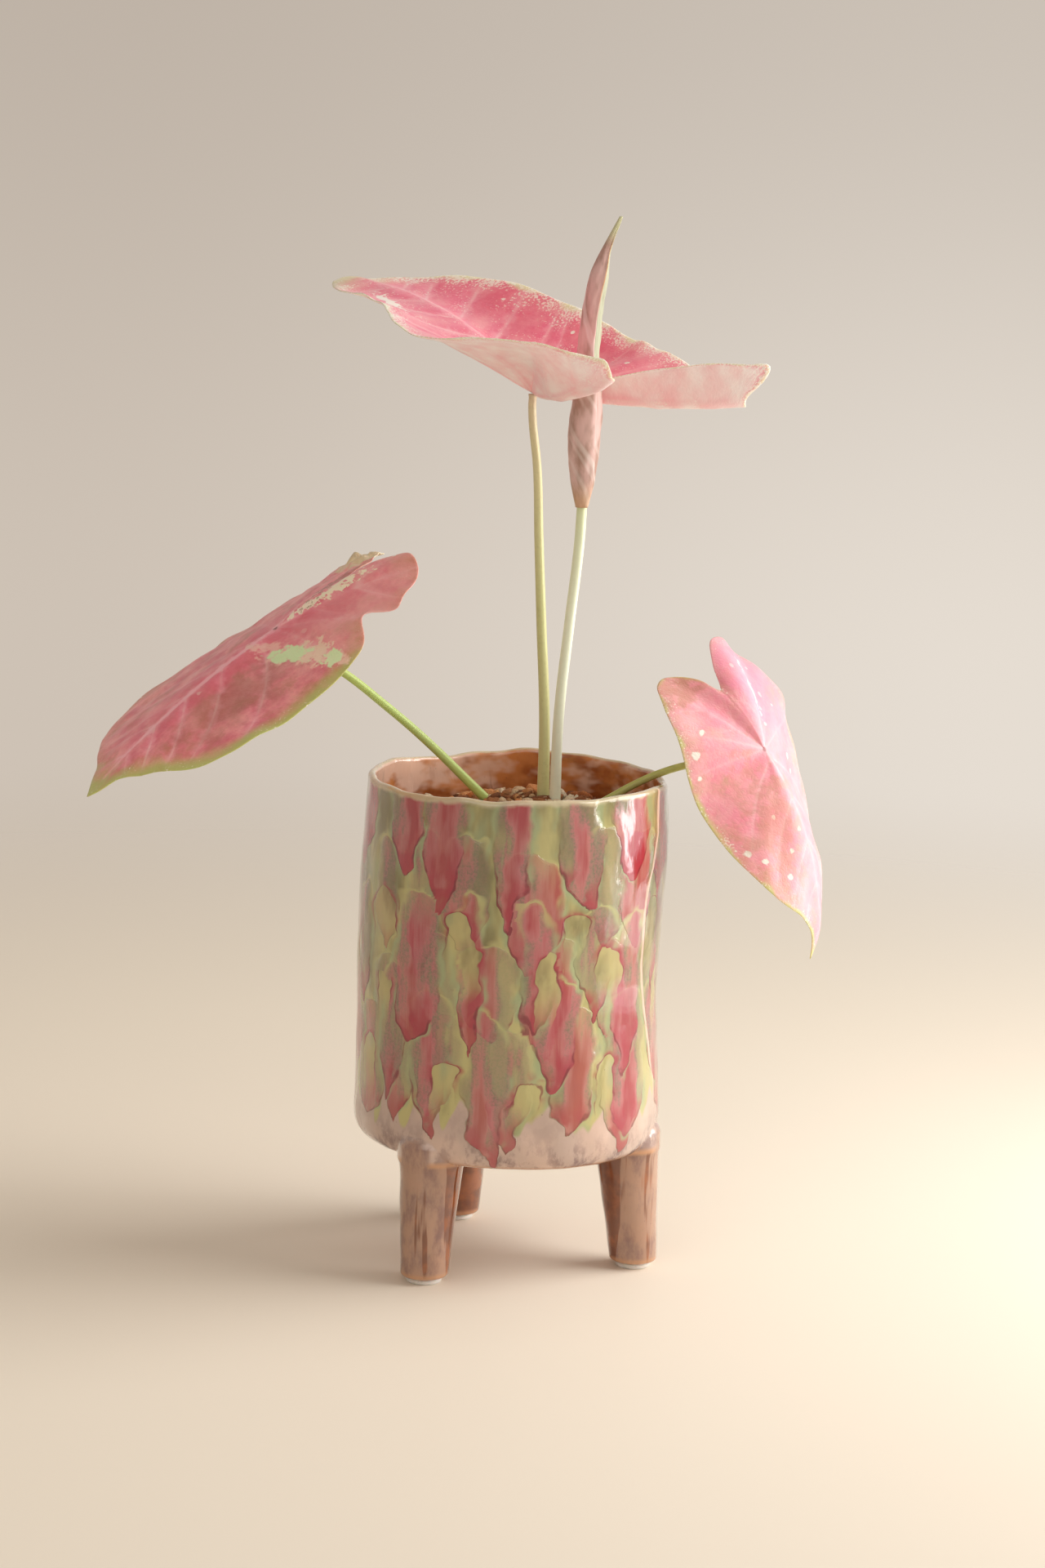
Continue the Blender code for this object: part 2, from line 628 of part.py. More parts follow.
def rolled_leaf(collection):
    """A spindle of one wound sheet, with its free edge as a step down one side."""
    route = np.array([point for point, _ in ROLL_ROUTE], float)
    girth = np.array([radius for _, radius in ROLL_ROUTE], float)
    heights = route[:, 2]
    rows = np.linspace(0, 1, ROLL_ROWS) ** 0.9 * (heights[-1] - heights[0]) + heights[0]
    slopes = np.gradient(route, heights, axis=0)
    middles = np.stack([hermite(rows, heights, route[:, axis], slopes[:, axis])
                        for axis in range(3)], -1)
    radii = hermite(rows, heights, girth, np.gradient(girth, heights))
    points, faces = [], []
    for row, (middle, radius) in enumerate(zip(middles, radii)):
        edge = radians(ROLL_EDGE_DIRECTION + 25 * row / ROLL_ROWS)
        lap = ROLL_LAP_MM * min(1.0, radius / 3.0)
        turns = np.concatenate([np.linspace(0, 2 * pi, ROLL_COLUMNS, endpoint=False), [2 * pi - 0.06]])
        for turn in turns:
            reach = radius - 0.5 * lap + lap * turn / (2 * pi)
            points.append((middle[0] + reach * cos(edge + turn),
                           middle[1] + reach * sin(edge + turn), middle[2]))
    columns = ROLL_COLUMNS + 1
    for row in range(ROLL_ROWS - 1):
        for step in range(columns):
            after = (step + 1) % columns
            low, high = row * columns, (row + 1) * columns
            faces.append((low + step, low + after, high + after, high + step))
    faces.append(tuple(range(columns))[::-1])
    faces.append(tuple(range((ROLL_ROWS - 1) * columns, ROLL_ROWS * columns)))
    made = mesh_object("leaf_rolled", points, faces, collection)
    facing_out(made.data)
    return made


def main():
    """Build every piece of the caladium."""
    clear_scene()
    collection = new_collection("caladium")
    helpers = new_collection("helpers", hidden=True)
    slots = {name: material(name) for name in FINISHES}

    routes = {}
    for name, leaf, stalk in (("top", LEAF_TOP, STALK_TOP), ("left", LEAF_LEFT, STALK_LEFT),
                              ("right", LEAF_RIGHT, STALK_RIGHT)):
        finish(open_leaf("leaf_" + name, leaf, collection), slots["leaf_pink"])
        facing, droop = blade_frame(leaf)
        facing = Vector(facing)
        underside = Vector(leaf.stalk_point) - facing * BLADE_THICK / 2
        routes[name] = stalk_route(stalk, underside, facing, droop)
    routes["rolled"] = stalk_route(STALK_ROLLED, Vector(ROLL_ROUTE[0][0]), Vector((0, 0, 1)), 0)
    finish(rolled_leaf(collection), slots["leaf_roll"])

    finish(pot(collection, helpers), slots["glaze"])
    finish(soil(collection, helpers, routes), slots["soil"])
    for name in LEGS:
        finish(foot_pad(name, collection), slots["pad"])
    for name, route in routes.items():
        finish(stalk_curve("stalk_" + name, route, collection), slots["stalk"])
    bpy.data.collections.remove(helpers)


main()
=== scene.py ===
"""A potted caladium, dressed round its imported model.

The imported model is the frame: every piece here stands where its solid stands,
and takes its place in the picture. The pot is a hand-built cylinder with an
overlapped seam, brushed with long dabs of pink and crimson glaze over a
yellow-green ground. Out of coarse soil rise four leaf stalks: three carry open
shield-shaped blades, and one a leaf that is still rolled up.

Lengths are millimetres in the pot's own frame: x to the right, y away from the
viewer, z up from the standing surface. They become metres, in the model's
frame, where a mesh is made.
"""

import logging
from dataclasses import dataclass, field
from enum import Enum
from functools import partial, reduce
from math import pi, radians

import bpy
import numpy as np
from mathutils import Euler, Matrix, Vector


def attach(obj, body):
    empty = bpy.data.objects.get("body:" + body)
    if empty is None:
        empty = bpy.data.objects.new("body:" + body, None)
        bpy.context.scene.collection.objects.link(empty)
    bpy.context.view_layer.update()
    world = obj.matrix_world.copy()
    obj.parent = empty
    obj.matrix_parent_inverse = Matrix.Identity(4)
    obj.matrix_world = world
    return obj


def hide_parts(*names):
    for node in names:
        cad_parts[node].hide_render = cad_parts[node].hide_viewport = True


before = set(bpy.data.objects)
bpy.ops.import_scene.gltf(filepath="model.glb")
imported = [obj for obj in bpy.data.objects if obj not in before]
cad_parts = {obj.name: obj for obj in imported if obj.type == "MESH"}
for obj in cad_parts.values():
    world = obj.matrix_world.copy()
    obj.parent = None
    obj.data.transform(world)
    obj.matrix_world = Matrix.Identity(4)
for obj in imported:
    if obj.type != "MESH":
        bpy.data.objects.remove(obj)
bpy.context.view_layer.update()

LOG = logging.getLogger("caladium")

Array = np.ndarray
Socket = bpy.types.NodeSocket

MM = 0.001
POT_FRAME = np.array((18.4, -4.6, 0.0))     # the pot frame's origin in the model's frame
WAVES = 14                                  # plane waves in an uneven field
FAR = 9.0                                   # distance of what has nothing near it


class Slot(Enum):
    """The record's material slots."""

    GLAZE = "glaze"
    SOIL = "soil"
    PAD = "pad"
    LEAF_PINK = "leaf_pink"
    LEAF_ROLL = "leaf_roll"
    STALK = "stalk"


# Numbers along a table or over a surface.

def ease(low: float, high: float, value: Array) -> Array:
    """Go from 0 at low to 1 at high by the smooth cubic s*s*(3 - 2*s)."""
    share = np.clip((value - low) / (high - low), 0.0, 1.0)
    return share * share * (3 - 2 * share)


def hump(value: Array, middle: float, wide: float) -> Array:
    """A bell of height 1: exp(-((value - middle) / wide) squared)."""
    return np.exp(-((value - middle) / wide) ** 2)


def read(table: tuple, at: Array, period: float | None = None) -> Array:
    """Read (place, value) pairs by straight lines, round again after a period if there is one."""
    places, values = zip(*table)
    return np.interp(at, places, values, period=period)


def hermite(at: Array, places: Array, values: Array, slopes: Array) -> Array:
    """Read a smooth curve: the cubic through two neighbours with their slopes.

    Args:
        at: Places to read.
        places: Places of the given values, rising.
        values: The values there.
        slopes: The curve's slopes there.

    Returns:
        The values at those places.
    """
    low = np.clip(np.searchsorted(places, at, side="right") - 1, 0, len(places) - 2)
    width = places[low + 1] - places[low]
    t = (at - places[low]) / width
    return ((2 * t**3 - 3 * t**2 + 1) * values[low] + (t**3 - 2 * t**2 + t) * width * slopes[low]
            + (3 * t**2 - 2 * t**3) * values[low + 1] + (t**3 - t**2) * width * slopes[low + 1])


def ripple(points: Array, length: float, seed: int) -> Array:
    """A smooth uneven field: the sum of plane waves with drawn directions and phases.

    Args:
        points: Places, one in each row, of two or three numbers.
        length: About one wave's length, in the points' own unit.
        seed: Starts the draw.

    Returns:
        One number for each point, mostly between -1 and 1.
    """
    draw = np.random.default_rng(seed)
    ways = draw.normal(size=(WAVES, points.shape[-1]))
    ways /= np.linalg.norm(ways, axis=1)[:, None]
    ways *= 2 * pi / length * draw.uniform(0.55, 1.5, WAVES)[:, None]
    waves = np.sin(points @ ways.T + draw.uniform(0, 2 * pi, WAVES))
    return waves.sum(-1) / (1.28 * WAVES**0.5)


def once_round(count: int) -> Array:
    """Angles of so many points once round, in radians."""
    return 2 * pi * np.arange(count) / count


def polar(angle: Array, reach: float | Array, height: float | Array) -> Array:
    """Points at these angles in radians, this far out and this high."""
    level = np.broadcast_to(height, np.shape(angle))
    return np.stack([reach * np.cos(angle), reach * np.sin(angle), level], -1)


def around(direction: Array) -> Array:
    """The same direction, in degrees, between -180 and 180."""
    return (direction + 180.0) % 360.0 - 180.0


# Surfaces, and the pieces made of them.

@dataclass
class Skin:
    """One surface in the making.

    Attributes:
        points: Its points, one in each row.
        faces: Arrays of corners: one row for each face, three or four columns.
        paint: What is painted on each point, by name: one, three or four numbers.
    """

    points: Array
    faces: list[Array]
    paint: dict[str, Array] = field(default_factory=dict)


def grid_faces(rows: int, columns: int, first: int = 0, wrap: bool = True) -> Array:
    """Faces of a grid of points: they look out if rows go up and columns counterclockwise.

    Args:
        rows: Points in a column.
        columns: Points in a row.
        first: Number of the grid's first point.
        wrap: Whether the last column joins the first.

    Returns:
        Four corners in each row.
    """
    index = first + np.arange(rows * columns).reshape(rows, columns)
    after = np.roll(index, -1, axis=1)
    low, low_after, high, high_after = index[:-1], after[:-1], index[1:], after[1:]
    last = None if wrap else -1
    return np.stack([part[:, :last].ravel() for part in (low, low_after, high_after, high)], -1)


def fan_faces(pole: int, ring: Array, turned: bool = False) -> Array:
    """Three-cornered faces between one point and a closed ring.

    Args:
        pole: Number of the middle point.
        ring: Numbers of the ring's points.
        turned: Whether the faces look the other way.

    Returns:
        Three corners in each row.
    """
    after = np.roll(ring, -1)
    poles = np.full(len(ring), pole)
    return np.stack([poles, after, ring] if turned else [poles, ring, after], -1)


def closed_grid(rows: Array, low_pole: Array | tuple, high_pole: Array | tuple) -> Skin:
    """A closed skin: rings from the bottom up, with a point at each end.

    Args:
        rows: Rings of points, each going round counterclockwise seen from above.
        low_pole: The point below the first ring.
        high_pole: The point that closes the last ring.

    Returns:
        The skin, its grid points first and its two poles last.
    """
    count, columns, _ = rows.shape
    points = np.concatenate([rows.reshape(-1, 3), [low_pole], [high_pole]])
    ring = np.arange(columns)
    total = count * columns
    faces = [grid_faces(count, columns), fan_faces(total, ring, turned=True),
             fan_faces(total + 1, ring + total - columns)]
    return Skin(points, faces)


def skin_mesh(name: str, skin: Skin) -> bpy.types.Mesh:
    """Put a skin into a mesh, in metres and in the model's frame.

    Args:
        name: The mesh's name.
        skin: What to put there.

    Returns:
        The mesh, smoothly shaded, with its paint as point attributes.
    """
    mesh = bpy.data.meshes.new(name)
    corners = np.concatenate([part.ravel() for part in skin.faces])
    sizes = np.concatenate([np.full(len(part), part.shape[1]) for part in skin.faces])
    mesh.vertices.add(len(skin.points))
    mesh.vertices.foreach_set("co", ((skin.points + POT_FRAME) * MM).astype(np.float32).ravel())
    mesh.loops.add(len(corners))
    mesh.loops.foreach_set("vertex_index", corners.astype(np.int32))
    mesh.polygons.add(len(sizes))
    mesh.polygons.foreach_set("loop_start", (np.cumsum(sizes) - sizes).astype(np.int32))
    mesh.polygons.foreach_set("use_smooth", np.ones(len(sizes), bool))
    mesh.update(calc_edges=True)
    mesh.validate()
    lay_paint(mesh, skin.paint)
    return mesh


def lay_paint(mesh: bpy.types.Mesh, paint: dict[str, Array]) -> None:
    """Write named values on a mesh's points.

    Args:
        mesh: The mesh.
        paint: Arrays by name: one, three or four numbers for each point.
    """
    kinds = {1: ("FLOAT", "value"), 3: ("FLOAT_VECTOR", "vector"), 4: ("FLOAT_COLOR", "color")}
    for name, values in paint.items():
        width = 1 if values.ndim == 1 else values.shape[1]
        kind, key = kinds[width]
        layer = mesh.attributes.new(name, kind, "POINT")
        layer.data.foreach_set(key, values.astype(np.float32).ravel())


def mesh_points(mesh: bpy.types.Mesh) -> Array:
    """A mesh's points in the pot's frame, in millimetres.

    Args:
        mesh: The mesh.

    Returns:
        Its points, one in each row.
    """
    flat = np.empty(len(mesh.vertices) * 3, np.float32)
    mesh.vertices.foreach_get("co", flat)
    return flat.reshape(-1, 3).astype(float) / MM - POT_FRAME


def new_object(name: str, data: bpy.types.ID) -> bpy.types.Object:
    """An object of this mesh, light or camera, in the scene.

    Args:
        name: Its name.
        data: What it shows.

    Returns:
        The object.
    """
    made = bpy.data.objects.new(name, data)
    bpy.context.scene.collection.objects.link(made)
    return made


def add_piece(name: str, mesh: bpy.types.Mesh, finish: bpy.types.Material,
              node: str) -> None:
    """Make a finished piece that stands for a CAD node.

    Args:
        name: The piece's name.
        mesh: Its mesh.
        finish: Its material.
        node: The CAD node that it replaces.
    """
    made = new_object(name, mesh)
    mesh.materials.clear()
    mesh.materials.append(finish)
    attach(made, "root")
    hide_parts(node)
    LOG.info("%s: %d points, %d faces", name, len(mesh.vertices), len(mesh.polygons))


# Node graphs.

Value = float | tuple | Socket


class Graph:
    """A material's node graph, written one node at a time.

    Each method adds one node and gives back its output, so that a finish reads
    as a sum of named parts. Lengths in the graph are millimetres.
    """

    def __init__(self, name: str, world: bpy.types.World | None = None) -> None:
        """Start a material of this name, or write on a world's own graph.

        Args:
            name: The material's name.
            world: The world to write on, in a material's place.
        """
        self.material = world or bpy.data.materials.new(name)
        self.material.use_nodes = True
        self.tree = self.material.node_tree
        self.shader = self.tree.nodes["Background" if world else "Principled BSDF"]

    def node(self, kind: str, inputs: dict[int | str, Value], output: int | str = 0,
             **options: object) -> Socket:
        """Add a node.

        Args:
            kind: Blender's name of it.
            inputs: What goes into its sockets: a number, a tuple or another output.
            output: Which of its outputs is wanted.
            **options: The node's own settings.

        Returns:
            That output.
        """
        made = self.tree.nodes.new(kind)
        for option, value in options.items():
            setattr(made, option, value)
        for socket, value in inputs.items():
            self.plug(made.inputs[socket], value)
        return made.outputs[output]

    def plug(self, socket: Socket, value: Value) -> None:
        """Link an output to a socket, or set the socket to a number or a colour.

        Args:
            socket: The input.
            value: What goes into it.
        """
        if isinstance(value, bpy.types.NodeSocket):
            self.tree.links.new(value, socket)
        elif isinstance(value, tuple) and len(value) == 3 and socket.type == "RGBA":
            socket.default_value = (*value, 1.0)
        else:
            socket.default_value = value

    def math(self, operation: str, first: Value, second: Value = 0.0) -> Socket:
        """One sum on numbers."""
        return self.node("ShaderNodeMath", {0: first, 1: second}, operation=operation)

    def plus(self, *terms: Value) -> Socket:
        """The sum of these numbers."""
        return reduce(partial(self.math, "ADD"), terms)

    def minus(self, first: Value, second: Value) -> Socket:
        """The first number less the second."""
        return self.math("SUBTRACT", first, second)

    def times(self, *factors: Value) -> Socket:
        """The product of these numbers."""
        return reduce(partial(self.math, "MULTIPLY"), factors)

    def larger(self, first: Value, second: Value) -> Socket:
        """The larger of two numbers."""
        return self.math("MAXIMUM", first, second)

    def unsigned(self, value: Value) -> Socket:
        """The number without its sign."""
        return self.math("ABSOLUTE", value)

    def invert(self, value: Value) -> Socket:
        """One less the number."""
        return self.math("SUBTRACT", 1.0, value)

    def attribute(self, name: str, output: str = "Fac") -> Socket:
        """What is painted on the piece under this name."""
        return self.node("ShaderNodeAttribute", {}, output, attribute_name=name)

    def places(self) -> Socket:
        """The point's own place in millimetres, from Object coordinates."""
        metres = self.node("ShaderNodeTexCoord", {}, "Object")
        return self.node("ShaderNodeVectorMath", {0: metres, 3: 1.0 / MM}, operation="SCALE")

    def joined(self, x: Value, y: Value = 0.0, z: Value = 0.0) -> Socket:
        """Three numbers as one place."""
        return self.node("ShaderNodeCombineXYZ", {0: x, 1: y, 2: z})

    def parts(self, vector: Value) -> tuple[Socket, Socket, Socket]:
        """The three numbers of a place.

        Args:
            vector: The place.

        Returns:
            Its x, y and z.
        """
        made = self.tree.nodes.new("ShaderNodeSeparateXYZ")
        self.plug(made.inputs[0], vector)
        return made.outputs[0], made.outputs[1], made.outputs[2]

    def noise(self, vector: Value, length: float, detail: float = 2.0, rough: float = 0.5,
              upright: float = 1.0, shift: tuple = (0, 0, 0)) -> Socket:
        """Cloudy noise between 0 and 1.

        Args:
            vector: The place.
            length: About how long a lump is, in millimetres.
            detail: How many finer layers it has.
            rough: How strong the finer layers are.
            upright: Scale of the third axis: below 1 it draws the lumps out that way.
            shift: Moves the noise, so that two of one kind differ.

        Returns:
            The noise.
        """
        if upright != 1.0 or any(shift):
            vector = self.node("ShaderNodeMapping", {
                "Vector": vector, "Scale": (1.0, 1.0, upright), "Location": shift})
        return self.node("ShaderNodeTexNoise", {
            "Vector": vector, "Scale": 1.0 / length, "Detail": detail, "Roughness": rough})

    def cells(self, vector: Value, length: float, feature: str = "F1") -> Socket:
        """Voronoi cells of about this size; the distance is given as a share of it."""
        return self.node("ShaderNodeTexVoronoi", {"Vector": vector, "Scale": 1.0 / length},
                         "Distance", feature=feature)

    def climb(self, value: Value, low: float, high: float, start: float = 0.0,
              end: float = 1.0) -> Socket:
        """A smooth climb from start at low to end at high.

        Args:
            value: The number.
            low: Where the climb starts.
            high: Where it ends; it may be below low.
            start: What it gives before.
            end: What it gives after.

        Returns:
            The climbed number.
        """
        return self.node("ShaderNodeMapRange", {
            "Value": value, "From Min": low, "From Max": high, "To Min": start, "To Max": end},
            interpolation_type="SMOOTHSTEP")

    def sway(self, cloud: Value, reach: float) -> Socket:
        """A noise turned into a straying of up to this much to both sides."""
        return self.climb(cloud, 0.2, 0.8, -reach, reach)

    def ramp(self, value: Value, stops: tuple) -> Socket:
        """A colour read off a row of (place, colour) stops.

        Args:
            value: Where to read.
            stops: The stops, in order of place.

        Returns:
            The colour.
        """
        output = self.node("ShaderNodeValToRGB", {0: value})
        row = output.node.color_ramp
        while len(row.elements) < len(stops):
            row.elements.new(0.5)
        for element, (place, colour) in zip(row.elements, stops):
            element.position = place
            element.color = (*colour, 1.0)
        return output

    def mix(self, share: Value, first: Value, second: Value) -> Socket:
        """Two colours mixed: share 0 is the first, 1 the second."""
        return self.node("ShaderNodeMix", {0: share, 6: first, 7: second}, 2, data_type="RGBA")

    def cover(self, under: Value, over: Value, *shares: Value) -> Socket:
        """A colour laid over another by the product of these shares."""
        return self.mix(self.times(*shares), under, over)

    def bump(self, height: Value, depth: float, under: Value | None = None) -> Socket:
        """A normal for a relief: height 0 to 1 stands for this depth in millimetres.

        Args:
            height: The relief.
            depth: Its depth in millimetres.
            under: The normal of a relief below it.

        Returns:
            The normal.
        """
        inputs = {"Height": height, "Strength": 1.0, "Distance": depth * MM}
        if under is not None:
            inputs["Normal"] = under
        return self.node("ShaderNodeBump", inputs, "Normal")

    def finish(self, colour: Value, rough: Value, normal: Value | None = None,
               **fixed: float | tuple) -> bpy.types.Material:
        """Set the shader's sockets and give the material back.

        Args:
            colour: The base colour.
            rough: The roughness.
            normal: The bumped normal, if there is one.
            **fixed: Further sockets, their names with _ for a space.

        Returns:
            The material.
        """
        self.plug(self.shader.inputs["Base Color"], colour)
        self.plug(self.shader.inputs["Roughness"], rough)
        if normal is not None:
            self.plug(self.shader.inputs["Normal"], normal)
        for name, value in fixed.items():
            self.plug(self.shader.inputs[name.replace("_", " ")], value)
        return self.material


def srgb(red: int, green: int, blue: int) -> tuple[float, float, float]:
    """A colour given as it looks on a screen, 0 to 255, as the linear light a shader takes.

    Args:
        red: Red.
        green: Green.
        blue: Blue.

    Returns:
        The three parts, 0 to 1.
    """
    screen = np.array((red, green, blue)) / 255
    linear = np.where(screen <= 0.04045, screen / 12.92, ((screen + 0.055) / 1.055) ** 2.4)
    return tuple(float(part) for part in linear)


# The pot.

TONGUE_TOP = 0.2        # share of a tongue's length that its round top takes
TONGUE_END = 0.62       # share of it at which the sides begin to close
END_POWER = 2.4         # how blunt the end is
RUN_WIDE = 0.35         # width of a longer run, in half widths


@dataclass(frozen=True)
class Tongue:
    """One brushed dab: a long tongue with a round top and a pooled lower end.

    At share t of its length it has the half width w(t): a quarter circle from
    its top to its full width, then straight, then a rounded end. A point's
    depth is its sideways distance less w, below 0 inside the tongue.

    Attributes:
        middle: Its place round the wall, in millimetres.
        rise: Height of its top.
        long: Its length.
        half: Its half width.
        tone: Its tone, 0 dusty to 1 crimson.
        lean: Sideways slope of its middle line.
        run_at: Place across of a longer run of glaze, in half widths.
        run_more: What the run adds, as a share of the length.
    """

    middle: float
    rise: float
    long: float
    half: float
    tone: float
    lean: float
    run_at: float
    run_more: float

    def lie(self, arc: Array, height: Array, girth: float) -> Array:
        """How points of the wall lie to the tongue.

        Args:
            arc: Their places round the wall, in millimetres.
            height: Their heights.
            girth: Length once round.

        Returns:
            Four numbers a point: depth, tone, t, and the place across in half widths.
        """
        fall = self.rise - height
        across = (arc - self.middle + girth / 2) % girth - girth / 2 - self.lean * fall
        side = across / self.half
        reach = self.long * (1 + self.run_more * hump(side, self.run_at, RUN_WIDE))
        t = fall / reach
        top = np.sqrt(np.clip(1 - (1 - np.clip(t, 0, TONGUE_TOP) / TONGUE_TOP) ** 2, 0, 1))
        closing = np.clip((t - TONGUE_END) / (1 - TONGUE_END), 0, 1)
        end = np.sqrt(np.clip(1 - closing**END_POWER, 0, 1))
        depth = np.abs(across) - self.half * np.minimum(top, end)
        depth = np.where(t < 0, np.hypot(across, fall), depth)
        depth = np.where(t > 1, np.hypot(across, reach - fall), depth)
        return np.stack([depth, np.full_like(depth, self.tone), t, side], -1)


@dataclass
class Dabs:
    """One coat of brushed dabs: tongues in rows round the pot, none over another.

    Attributes:
        rows: The rows: (height of the tops, how many, turn of the first in degrees).
        seed: Starts the draw of their small differences.
        length: A tongue's length.
        half_width: Half its width.
    """

    rows: tuple
    seed: int
    length: float
    half_width: float

    def tongues(self, girth: float) -> list[Tongue]:
        """Draw every tongue, row by row, round a wall of this girth.

        Args:
            girth: Length once round the wall.

        Returns:
            The tongues.
        """
        draw = np.random.default_rng(self.seed).uniform
        return [Tongue(middle=(turn / 360 + (number + draw(-0.24, 0.24)) / count) * girth,
                       rise=top + draw(-7.5, 7.5), long=self.length * draw(0.8, 1.18),
                       half=self.half_width * draw(0.66, 1.28), tone=draw(),
                       lean=draw(-0.04, 0.04), run_at=draw(-0.5, 0.5),
                       run_more=draw(0.05, 0.16))
                for top, count, turn in self.rows for number in range(count)]

    def paint(self, arc: Array, height: Array, girth: float) -> Array:
        """How each point lies to its nearest tongue.

        Args:
            arc: Places round the wall, in millimetres.
            height: Heights of the points.
            girth: Length once round.

        Returns:
            What Tongue.lie gives for the nearest one.
        """
        best = np.full((len(arc), 4), FAR)
        for tongue in self.tongues(girth):
            found = tongue.lie(arc, height, girth)
            nearer = found[:, 0] < best[:, 0]
            best[nearer] = found[nearer]
        return best


@dataclass
class HandBuiltPot:
    """The fired pot: a slab-built cylinder, its overlapped seam, rounded lip and three legs.

    The wall's radius is its plain radius, plus what swell, lean and a few slow
    waves put it out of round, plus the overlap's step, which dies away on
    both sides of the seam. Directions are degrees round its middle.
    """

    middle: tuple[float, float] = (-0.6, 0.0)
    radius: float = 54.5
    base: float = 43.9
    rim: float = 175.8
    wall: float = 3.0
    floor: float = 5.0
    swell: tuple = ((43, 0.5), (60, 0.5), (75, 0.1), (95, -0.3), (108, -0.3), (130, 0.2),
                    (148, 0.5), (160, 0.0), (172, -0.9), (178, -0.9))
    lean: tuple = ((43, 0.3), (60, 0.3), (75, -0.1), (95, -0.9), (108, -1.1), (130, -0.6),
                   (148, 0.0), (160, 0.4), (172, 0.2), (178, 0.2))
    foot: tuple = ((-9, 0), (-6.6, 0.22), (-4.6, 0.75), (-3.1, 1.6), (-2.0, 2.7), (-1.2, 4.0),
                   (-0.65, 5.6), (-0.3, 7.6), (-0.1, 10))
    rim_wave: tuple = ((-150, -1.4), (-85, -0.2), (-25, 1.0), (5, -0.7), (33, 0.8), (90, 1.3),
                       (118, -1.2), (165, -0.1))
    seam: tuple = ((45, -16), (71, -18), (78, -22), (90, -25), (100, -28), (115, -31),
                   (135, -31), (144, -30), (150, -27), (160, -24), (180, -22))
    seam_step: float = 1.1
    seam_fade: float = 26.0
    seam_foot: tuple[float, float] = (60, 82)
    sag: float = 0.7
    sag_at: tuple[float, float] = (-150, 52)
    sag_wide: tuple[float, float] = (40, 7)
    legs: dict = field(default_factory=lambda: {
        "front_left": ((-27.6, -39.0), 3.2), "right": ((47.0, -11.4), 4.4),
        "back": ((-18.2, 43.0), 3.0)})
    leg_radii: tuple[float, float] = (8.5, 11.7)
    leg_foot: float = 2.2
    leg_top: float = 50.0
    leg_edge: float = 1.3
    leg_dome: tuple = ((1.6, 0.7), (2.8, 1.6), (3.9, 3.0), (4.4, 4.4))
    leg_columns: int = 44
    columns: int = 330
    wall_rows: int = 150

    @property
    def girth(self) -> float:
        """Length once round the outside."""
        return 2 * pi * self.radius

    def seam_away(self, direction: Array, height: Array) -> Array:
        """Degrees from the seam, above 0 counterclockwise of it."""
        return around(direction - read(self.seam, height))

    def out_of_round(self, direction: Array, height: Array) -> Array:
        """How far the hand-built wall stands off a true tube.

        Args:
            direction: Directions round the pot, in degrees.
            height: Heights of the points.

        Returns:
            What comes to the radius, in millimetres.
        """
        angle = np.radians(direction)
        change = read(self.swell, height) + read(self.lean, height) * np.cos(angle)
        change += 0.45 * np.cos(2 * angle + 1.9) + 0.25 * np.cos(3 * angle + height / 40 + 1.5)
        place = polar(angle, self.radius, height)
        return change + 0.20 * ripple(place, 34.0, 11) + 0.10 * ripple(place, 13.0, 12)

    def overlap(self, direction: Array, height: Array) -> Array:
        """The seam: the upper slab stands proud and ends in a rounded edge, with a crease by it.

        Args:
            direction: Directions round the pot, in degrees.
            height: Heights of the points.

        Returns:
            What comes to the radius, in millimetres.
        """
        away = self.seam_away(direction, height)
        step = self.seam_step * ease(*self.seam_foot, height)
        proud = 0.6 * np.exp(np.minimum(away, 0) / self.seam_fade)
        sunk = -0.4 * np.exp(-np.maximum(away, 0) / self.seam_fade)
        share = ease(-0.55, 0.15, away)
        edge = 0.10 * hump(away, -1.3, 1.0)
        crease = -0.30 * hump(away, 0.75, 0.8)
        return step * (proud * (1 - share) + sunk * share + edge + crease)

    def rim_rise(self, direction: Array) -> Array:
        """How far the hand-cut rim stands above or below its plain height.

        Args:
            direction: Directions round the pot, in degrees.

        Returns:
            Millimetres above the plain rim.
        """
        angle = np.radians(direction)
        uneven = ripple(polar(angle, 54.0, 0.0), 26.0, 15)
        return read(self.rim_wave, direction, 360) + 0.55 * uneven

    def ring(self, out: float, height: float, offsets: Array, outside: float) -> Array:
        """One ring of points.

        Args:
            out: How far the ring stands out from the plain wall.
            height: Its plain height.
            offsets: Degrees of its points from the seam.
            outside: How far the seam shows: 1 on the outer wall, 0 inside.

        Returns:
            The points, going round counterclockwise.
        """
        heights = np.full(len(offsets), float(height))
        direction = around(offsets + read(self.seam, heights))
        at_wall = float(ease(0.6 * self.radius, 0.9 * self.radius, self.radius + out))
        rise = self.rim_rise(direction) * ease(110, 170, heights) * at_wall
        change = self.out_of_round(direction, heights) * at_wall
        change += outside * self.overlap(direction, heights)
        away = hump(around(direction - self.sag_at[0]), 0, self.sag_wide[0])
        change += outside * self.sag * away * hump(heights, self.sag_at[1], self.sag_wide[1])
        reach = np.maximum(self.radius + out + change, 0.1)
        return polar(np.radians(direction), reach, heights + rise) + (*self.middle, 0.0)

